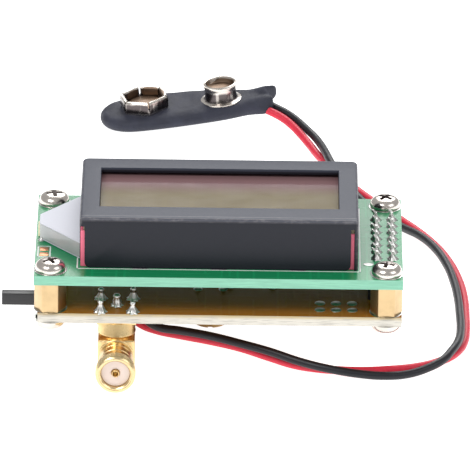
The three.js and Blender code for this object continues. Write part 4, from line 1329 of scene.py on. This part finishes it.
class COUNTER_OT_bezel(CounterStep, bpy.types.Operator):
    """Folds the display's sheet-metal bezel"""

    bl_idname = "counter.bezel"
    bl_label = "Bezel"

    def build(self, sizes):
        low, high = node_box("lcd_bezel")
        low = Vector((low.x, low.y, UPPER_HIGH.z + 0.02))
        centre = (low + high) / 2
        bm = brick(low, high)
        bottom = min(bm.faces, key=lambda f: f.calc_center_median().z)
        bmesh.ops.delete(bm, geom=[bottom], context="FACES_ONLY")
        uprights = [e for e in bm.edges if abs(e.verts[0].co.z - e.verts[1].co.z) > 1]
        rear = [e for e in uprights if e.verts[0].co.y > centre.y]
        bmesh.ops.bevel(
            bm, geom=rear, offset=1.0, offset_type="OFFSET", segments=4, profile=0.5, affect="EDGES",
            material=-1
        )
        bevelled(bm, sizes.bend, 4, lambda e: len(e.link_faces) == 2 and e.calc_face_angle(0) > 1.0)
        self.window(bm, high.z)
        self.corner_slits(bm, low, high)
        self.guide_mouth(bm, low)
        self.tabs(bm, low, high)
        made = piece("lcd_bezel_folded", bm, "paint", replaces=("lcd_bezel",), sharp=40)
        solid = made.modifiers.new("sheet", "SOLIDIFY")
        solid.thickness = sizes.sheet * MM
        solid.offset = -1
        solid.use_even_offset = True
        edges = made.modifiers.new("edges", "BEVEL")
        edges.width = 0.05 * MM
        edges.segments = 2
        edges.limit_method = "ANGLE"
        edges.angle_limit = math.radians(50)

    @staticmethod
    def slice(bm, point, normal, keep=lambda face: True):
        """Scores the faces that keep accepts along a plane."""
        faces = [f for f in bm.faces if keep(f)]
        geom = faces + list({e for f in faces for e in f.edges}) + list({v for f in faces for v in f.verts})
        bmesh.ops.bisect_plane(bm, geom=geom, dist=1e-4, plane_co=point, plane_no=normal)

    def drop(self, bm, test):
        doomed = [f for f in bm.faces if test(f.calc_center_median())]
        bmesh.ops.delete(bm, geom=doomed, context="FACES")

    def window(self, bm, top):
        pane = middle("lcd_rear_glass")
        half = Vector(WINDOW_HALF)
        y = CENTRE.y - 0.025

        def plate(face):
            return face.normal.z > 0.99

        for side in (-1, 1):
            self.slice(bm, (pane.x + side * half.x, 0, 0), (1, 0, 0), plate)
            self.slice(bm, (0, y + side * half.y, 0), (0, 1, 0), plate)
        self.drop(bm, lambda c: c.z > top - 1e-3 and abs(c.x - pane.x) < half.x and abs(c.y - y) < half.y)
        lip = [
            e for e in bm.edges
            if len(e.link_faces) == 1 and all(v.co.z > top - 1e-3 for v in e.verts)
        ]
        for depth in (0.25, 0.55):
            made = bmesh.ops.extrude_edge_only(bm, edges=lip)["geom"]
            verts = [v for v in made if isinstance(v, bmesh.types.BMVert)]
            bmesh.ops.translate(bm, vec=(0, 0, -depth), verts=verts)
            if depth < 0.3:
                for v in verts:
                    v.co.x -= math.copysign(0.1, v.co.x - pane.x)
                    v.co.y -= math.copysign(0.1, v.co.y - y)
            lip = [e for e in made if isinstance(e, bmesh.types.BMEdge)]

    def corner_slits(self, bm, low, high):
        """Opens the left corner down to the board, and a narrow upright slot beside the right corner."""
        up = 7.0
        left, back = low.x + 0.8, low.y + 2.55
        slot = (high.x - 1.15, high.x - 0.6)
        self.slice(bm, (0, 0, low.z + up), (0, 0, 1))
        for x in (left, *slot):
            self.slice(bm, (x, 0, 0), (1, 0, 0), lambda f: abs(f.normal.y) > 0.9)
        self.slice(bm, (0, back, 0), (0, 1, 0), lambda f: f.normal.x < -0.9)
        self.drop(bm, lambda c: c.y < back and c.z < low.z + up and c.x < left)
        self.drop(bm, lambda c: c.y < low.y + 0.01 and c.z < low.z + up and slot[0] < c.x < slot[1])
        foot = [v for v in bm.verts if v.co.z < low.z + 0.01 and v.co.y < low.y + 0.01]
        corners = [v for v in foot if min(abs(v.co.x - left), abs(v.co.x - slot[0])) < 0.01]
        bmesh.ops.bevel(
            bm, geom=corners, offset=0.9, offset_type="OFFSET", segments=4, profile=0.5, affect="VERTICES",
            material=-1,
        )

    def guide_mouth(self, bm, low):
        half, up = 9.5, 3.1

        def left(face):
            return face.normal.x < -0.9

        for side in (-1, 1):
            self.slice(bm, (0, CENTRE.y + side * half, 0), (0, 1, 0), left)
        self.slice(bm, (0, 0, low.z + up), (0, 0, 1), left)
        self.drop(bm, lambda c: c.x < low.x + 0.2 and abs(c.y - CENTRE.y) < half and c.z < low.z + up)

    def tabs(self, bm, low, high):
        """Tongues that pass through the board and are twisted below it."""
        for x in TAB_XS:
            for edge in (-1, 1):
                self.slice(
                    bm, (CENTRE.x + x + edge * TAB_HALF, 0, 0), (1, 0, 0), lambda f: abs(f.normal.y) > 0.9
                )
        for x in TAB_XS:
            for y in (low.y, high.y):
                feet = [e for e in bm.edges if len(e.link_faces) == 1 and self.in_tab(e, x, y, low.z)]
                for depth, turn in ((1.65, 0.0), (0.7, 0.5)):
                    made = bmesh.ops.extrude_edge_only(bm, edges=feet)["geom"]
                    verts = [v for v in made if isinstance(v, bmesh.types.BMVert)]
                    bmesh.ops.translate(bm, vec=(0, 0, -depth), verts=verts)
                    pivot = Vector((CENTRE.x + x, y, 0))
                    bmesh.ops.rotate(bm, cent=pivot, matrix=Matrix.Rotation(turn, 3, "Z"), verts=verts)
                    feet = [e for e in made if isinstance(e, bmesh.types.BMEdge)]


    @staticmethod
    def in_tab(edge, x, y, foot):
        """Whether an edge lies along the foot of the tab at x and y."""
        return all(
            v.co.z < foot + 0.01 and abs(v.co.x - CENTRE.x - x) < TAB_HALF + 0.01 and abs(v.co.y - y) < 0.02
            for v in edge.verts
        )


class COUNTER_OT_display(CounterStep, bpy.types.Operator):
    """Finishes the glass panes, the contact strips and the backlight"""

    bl_idname = "counter.display"
    bl_label = "Display"

    def build(self, sizes):
        softened("lcd_front_glass", "display", 0.08)
        softened("lcd_rear_glass", "display", 0.08)
        for side in ("front", "rear"):
            softened(f"zebra_strip_{side}", "zebra", 0.1)
        softened("light_guide", "acrylic", 0.08)
        paint_node("light_film_top", "film")
        paint_node("light_film_bottom", "film")
        softened("backlight_led", "led", 0.08)


# ---------------------------------------------------------------- input jack


class COUNTER_OT_jack(CounterStep, bpy.types.Operator):
    """Models the gold-plated RF jack"""

    bl_idname = "counter.jack"
    bl_label = "RF jack"

    def build(self, sizes):
        self.front = stem_y() - JACK_FRONT
        self.length = self.front - JACK_LOW.y
        piece("sma_body_plated", self.body(), "gold", replaces=("sma_body",))
        # The ring takes the paler gold, a painted reflection.
        piece("sma_threaded_ring", self.ring(sizes.thread_pitch), "pale")
        piece("sma_insulator_disc", self.insulator(), "ptfe", replaces=("sma_insulator",))
        piece("sma_contact_pin", self.contact(), "gold", replaces=("sma_contact",))

    def forward(self):
        """Turns +Z to the jack's mouth, from the block's front face."""
        return Matrix.Translation((JACK_X, self.front, JACK_AXIS)) @ Matrix.Rotation(math.pi / 2, 4, "X")

    def body(self):
        """The block, its round post and foot plate, the plain neck and the four legs."""
        y = stem_y()
        block = brick((JACK_X - 2.9, self.front, 0.3), (JACK_X + 2.9, y + 3.0, 5.95), 0.28, 4)
        neck = turned((
            (0, -1.0), (2.9, -1.0), (2.9, 0.12), (2.82, 0.2), (2.72, 0.22), (2.72, 1.5), (2.68, 1.54),
            (2.68, 1.62),
            (2.72, 1.66), (2.72, 3.1), (2.66, 3.16), (2.66, 3.3), (2.72, 3.36), (2.74, self.length - 2.0),
            (0, self.length - 2.0),
        ), 64, self.forward())
        post = turned((
            (0, JACK_AXIS), (2.75, JACK_AXIS), (2.75, 5.9), (3.0, 6.12), (3.0, 6.3), (2.92, 6.42),
            (2.92, 8.3), (2.85, 8.42), (0, 8.42),
        ), 56, Matrix.Translation((JACK_X, y, 0)))
        foot = brick((JACK_X - 3.1, y - 3.1, 8.4), (JACK_X + 3.1, y + 3.1, LOWER_LOW.z - 0.01), 0.1)
        plug = turned(((0, -0.3), (2.3, -0.3), (2.3, 0.08), (2.2, 0.1), (0, 0.1)), 40, (
            Matrix.Translation((JACK_X, y + 2.9, JACK_AXIS)) @ Matrix.Rotation(-math.pi / 2, 4, "X")))
        legs = []
        for leg_x, leg_y, _ in jack_legs():
            low = (leg_x - 0.36, leg_y - 0.36, 8.5)
            legs.append(brick(low, (leg_x + 0.36, leg_y + 0.36, JACK_HIGH.z - 0.2), 0.15))
        return gathered([block, neck, post, foot, plug, *legs])

    def ring(self, pitch):
        """The short threaded ring at the mouth, with its stepped and chamfered face."""
        start, end = self.length - 2.0, self.length
        profile = [(2.3, start), (2.95, start), (3.1, start + 0.12)]
        position = start + 0.16
        while position + pitch / 2 < end - 0.35:
            profile += [(3.16, position), (3.17, position + 0.12), (3.1, position + 0.22)]
            position += pitch / 2
        profile += [(3.12, end - 0.3), (2.92, end - 0.04), (2.86, end), (2.62, end), (2.58, end - 0.12),
                    (2.44, end - 0.14), (2.3, end - 0.28), (2.3, start)]
        return turned(profile, 64, self.forward())

    def insulator(self):
        end = self.length - 1.0
        return turned((
            (0.68, end - 2.5), (2.29, end - 2.5), (2.29, end - 0.08), (2.2, end), (0.76, end),
            (0.68, end - 0.08), (0.68, end - 2.5),
        ), 48, self.forward())

    def contact(self):
        end = self.length - 0.55
        bm = turned((
            (0, end - 4), (0.635, end - 4), (0.635, end - 0.12), (0.55, end), (0.46, end), (0.44, end - 0.1),
            (0.44, end - 2.4), (0, end - 2.6),
        ), 32)
        for turn in (math.pi / 4, 3 * math.pi / 4):
            slot = brick((-1, -0.06, end - 1.8), (1, 0.06, end + 1))
            bm = carved(bm, moved(slot, Matrix.Rotation(turn, 4, "Z")))
        tail = turned((
            (0, JACK_AXIS), (0.5, JACK_AXIS), (0.5, 11.8), (0.4, 12.0), (0, 12.0),
        ), 20, Matrix.Translation((JACK_X, stem_y(), 0)))
        return gathered([moved(bm, self.forward()), tail])


# ---------------------------------------------------------------- trimmer and switch


class COUNTER_OT_trimmer(CounterStep, bpy.types.Operator):
    """Models the trimmer capacitor and its rotor"""

    bl_idname = "counter.trimmer"
    bl_label = "Trimmer"

    def build(self, sizes):
        low, high = node_box("trimmer_base")
        at = (low + high) / 2
        base = turned((
            (0, high.z - low.z - 0.0), (2.7, high.z - low.z), (2.8, high.z - low.z - 0.15),
            (2.8, 1.6), (2.62, 1.45), (2.62, 1.25), (2.8, 1.1), (2.8, 0.15), (2.68, 0.0), (2.05, 0.0),
            (1.95, 0.08), (1.95, 1.1), (0, 1.1),
        ), 48)
        notch = brick((-0.35, -3.2, -0.5), (0.35, -2.35, 1.0))
        base = carved(base, notch)
        piece("trimmer_base_moulded", shifted(base, at.x, at.y, low.z), "resin",
              replaces=("trimmer_base",))
        low, high = node_box("trimmer_rotor")
        at = (low + high) / 2
        rotor = turned((
            (0, 0.98), (1.8, 0.98), (1.84, 0.94), (1.84, 0.08), (1.76, 0.0), (0, 0.0),
        ), 40)
        rotor = carved(rotor, brick((-1.5, -0.3, -0.5), (1.5, 0.3, 0.45)))
        piece("trimmer_rotor_slotted", shifted(rotor, at.x, at.y, low.z), "rotor",
              "trimmer_screw", ("trimmer_rotor",))


class COUNTER_OT_switch(CounterStep, bpy.types.Operator):
    """Models the slide switch and its square handle"""

    bl_idname = "counter.switch"
    bl_label = "Slide switch"

    def build(self, sizes):
        softened("switch_frame", "steel", 0.1)
        softened("switch_base", "fibre", 0.08)
        low, high = node_box("switch_slider")
        corner = Vector((low.x, HANDLE_Y, HANDLE_Z))
        bar = brick(corner + Vector((0, -0.8, -1.0)), corner + Vector((6.9, 0.8, 1.0)), 0.12, 3)
        carriage = brick((low.x + 6.5, low.y, low.z), high, 0.1)
        piece("switch_handle", gathered([bar, carriage]), "plastic", "slide_handle",
              ("switch_slider",))


# ---------------------------------------------------------------- parts under the lower board


class COUNTER_OT_chips(CounterStep, bpy.types.Operator):
    """Models the socketed microcontroller and the prescaler chip"""

    bl_idname = "counter.chips"
    bl_label = "Chips"

    def build(self, sizes):
        self.microcontroller()
        softened("ic_socket", "plastic", 0.08)
        self.prescaler()

    def drafted(self, length, width, low, high, parting):
        """A moulded body that narrows above and below its parting line."""
        bm = brick((-length / 2, -width / 2, low), (length / 2, width / 2, high))
        geom = [*bm.verts, *bm.edges, *bm.faces]
        bmesh.ops.bisect_plane(bm, geom=geom, plane_co=(0, 0, parting), plane_no=(0, 0, 1))
        for vert in bm.verts:
            if abs(vert.co.z - parting) > 0.01:
                vert.co.x *= 1 - 0.5 / length
                vert.co.y *= 1 - 0.5 / width
        return bevelled(bm, 0.08, 2, lambda e: e.calc_face_angle(0) > math.radians(50))

    def microcontroller(self):
        at = middle("microcontroller")
        body = self.drafted(35.6, 7.1, 0.0, 3.4, 1.7)
        notch = turned(((0, -1), (0.9, -1), (0.9, 0.35), (0, 0.35)), 24)
        body = carved(body, shifted(notch, x=-17.6))
        dimple = turned(((0, -1), (0.55, -1), (0.5, 0.2), (0, 0.2)), 20)
        body = carved(body, shifted(dimple, x=-15.6, y=-2.2))
        legs = []
        for side in (-1, 1):
            for i in range(CHIP_PINS_A_SIDE):
                x = (i - 6.5) * PITCH
                shoulder = brick((x - 0.6, 3.3, 1.62), (x + 0.6, 3.95, 1.9), 0.05)
                wide = brick((x - 0.6, 3.72, 1.62), (x + 0.6, 3.98, 3.1), 0.05)
                blade = brick((x - 0.24, 3.7, 3.0), (x + 0.24, 3.94, 6.6), 0.04)
                legs += [turned_over(part, side) for part in (shoulder, wide, blade)]
        piece("microcontroller_body", shifted(body, at.x, at.y), "epoxy",
              replaces=("microcontroller",))
        piece("microcontroller_leads", shifted(gathered(legs), at.x, at.y), "steel")

    def prescaler(self):
        at = middle("prescaler_chip")
        top = LOWER_LOW.z
        body = self.drafted(4.9, 3.9, top - 1.7, top - 0.15, top - 0.9)
        piece(
            "prescaler_body", shifted(body, at.x, at.y), "epoxy",
            replaces=("prescaler_chip",),
        )
        legs = []
        for side in (-1, 1):
            for i in range(4):
                x = (i - 1.5) * 1.27
                for low, high in (
                    ((x - 0.2, 1.85, top - 1.0), (x + 0.2, 2.5, top - 0.8)),
                    ((x - 0.2, 2.32, top - 1.0), (x + 0.2, 2.52, top - 0.02)),
                    ((x - 0.2, 2.32, top - 0.22), (x + 0.2, 3.0, top - 0.02)),
                ):
                    legs.append(turned_over(brick(low, high, 0.04), side))
        piece("prescaler_leads", shifted(gathered(legs), at.x, at.y), "steel")


class COUNTER_OT_small_parts(CounterStep, bpy.types.Operator):
    """Models the regulator, crystal, capacitor and diode"""

    bl_idname = "counter.small_parts"
    bl_label = "Small parts"

    def build(self, sizes):
        top = LOWER_LOW.z
        self.regulator(top)
        self.crystal(top)
        self.capacitor(top)
        self.diode(top)

    def regulator(self, top):
        low, high = node_box("voltage_regulator")
        centre = Vector(((low.x + high.x) / 2, high.y - 2.4, 0))
        body = turned(((0, top - 6.2), (2.3, top - 6.2), (2.4, top - 6.1), (2.4, top - 1.45),
                       (2.3, top - 1.4), (0, top - 1.4)), 48)
        body = carved(body, brick((-4, -4, top - 8), (4, -1.5, top)))
        piece("regulator_body", shifted(body, centre.x, centre.y), "epoxy",
              replaces=("voltage_regulator",))
        legs = [brick((x - 0.22, -0.22, top - 2), (x + 0.22, 0.22, top), 0.03) for x in (-1.27, 0, 1.27)]
        piece("regulator_leads", shifted(gathered(legs), centre.x, centre.y), "steel")

    def crystal(self, top):
        at = middle("crystal")
        base = self.stadium(3.1, 2.2, top - 0.7, top - 0.25, 0.08)
        can = self.stadium(3.1, 1.85, top - 3.5, top - 0.6, 0.35)
        piece("crystal_can", shifted(gathered([base, can]), at.x, at.y), "steel",
              replaces=("crystal",))

    def stadium(self, reach, radius, low, high, bevel):
        outline = []
        for side in (1, -1):
            for step in range(17):
                angle = -math.pi / 2 + math.pi * step / 16
                outline.append((side * (reach + radius * math.cos(angle)), side * radius * math.sin(angle)))
        return slab(outline, low, high, bevel, 3)

    def capacitor(self, top):
        at = middle("electrolytic_capacitor")
        low = top - 5.4
        sleeve = turned(((0, low + 0.12), (2.1, low + 0.12), (2.15, low + 0.02), (2.35, low),
                         (2.5, low + 0.15), (2.5, top - 1.2), (2.38, top - 1.05), (2.38, top - 0.85),
                         (2.5, top - 0.7), (2.5, top - 0.15), (2.3, top), (0, top)), 48)
        piece("capacitor_sleeve", shifted(sleeve, at.x, at.y), "sleeve",
              replaces=("electrolytic_capacitor",))
        vent = turned(((0, low + 0.05), (2.05, low + 0.05), (2.1, low + 0.15), (0, low + 0.15)), 40)
        for turn in (0, math.pi / 2):
            groove = brick((-1.6, -0.1, low - 1), (1.6, 0.1, low + 0.09))
            vent = carved(vent, moved(groove, Matrix.Rotation(turn, 4, "Z")))
        piece("capacitor_vent", shifted(vent, at.x, at.y), "steel")

    def diode(self, top):
        at = middle("supply_diode")
        axis = top - 1.0
        along = Matrix.Translation((at.x, at.y, axis)) @ Matrix.Rotation(math.pi / 2, 4, "Y")
        glass = turned(((0, -2.1), (0.6, -2.1), (0.95, -1.75), (0.95, 1.75), (0.6, 2.1), (0, 2.1)), 32, along)
        piece("diode_glass_body", glass, "diode", replaces=("supply_diode",))
        leads = [turned(((0, -3.5), (0.25, -3.5), (0.25, 3.5), (0, 3.5)), 12, along)]
        for side in (-1, 1):
            foot = turned(((0, axis - 0.25), (0.25, axis - 0.25), (0.25, top), (0, top)), 12)
            leads.append(shifted(foot, at.x + side * 3.4, at.y))
        piece("diode_leads", gathered(leads), "steel")


# ---------------------------------------------------------------- panel and registration


STEPS = (
    COUNTER_OT_stage,
    COUNTER_OT_snap_cover,
    COUNTER_OT_snap_contacts,
    COUNTER_OT_wires,
    COUNTER_OT_boards,
    COUNTER_OT_solder,
    COUNTER_OT_screws,
    COUNTER_OT_standoffs,
    COUNTER_OT_header,
    COUNTER_OT_bezel,
    COUNTER_OT_display,
    COUNTER_OT_jack,
    COUNTER_OT_trimmer,
    COUNTER_OT_switch,
    COUNTER_OT_chips,
    COUNTER_OT_small_parts,
)


class COUNTER_PT_panel(bpy.types.Panel):
    """Lists the counter's building steps"""

    bl_idname = "COUNTER_PT_panel"
    bl_label = "Frequency counter"
    bl_space_type = "VIEW_3D"
    bl_region_type = "UI"
    bl_category = "Counter"

    def draw(self, context):
        for step in STEPS:
            self.layout.operator(step.bl_idname)


GROUPS = {"counter_colours": CounterColours, "counter_sizes": CounterSizes, "counter_stage": CounterStage}


def register():
    for name, group in GROUPS.items():
        bpy.utils.register_class(group)
        setattr(bpy.types.Scene, name, bpy.props.PointerProperty(type=group))
    for step in (*STEPS, COUNTER_PT_panel):
        bpy.utils.register_class(step)


def unregister():
    for step in reversed((*STEPS, COUNTER_PT_panel)):
        bpy.utils.unregister_class(step)
    for name, group in GROUPS.items():
        delattr(bpy.types.Scene, name)
        bpy.utils.unregister_class(group)


def main():
    register()
    FINISHES.update(all_finishes())
    for step in STEPS:
        area, name = step.bl_idname.split(".")
        getattr(getattr(bpy.ops, area), name)()


if __name__ == "__main__":
    main()
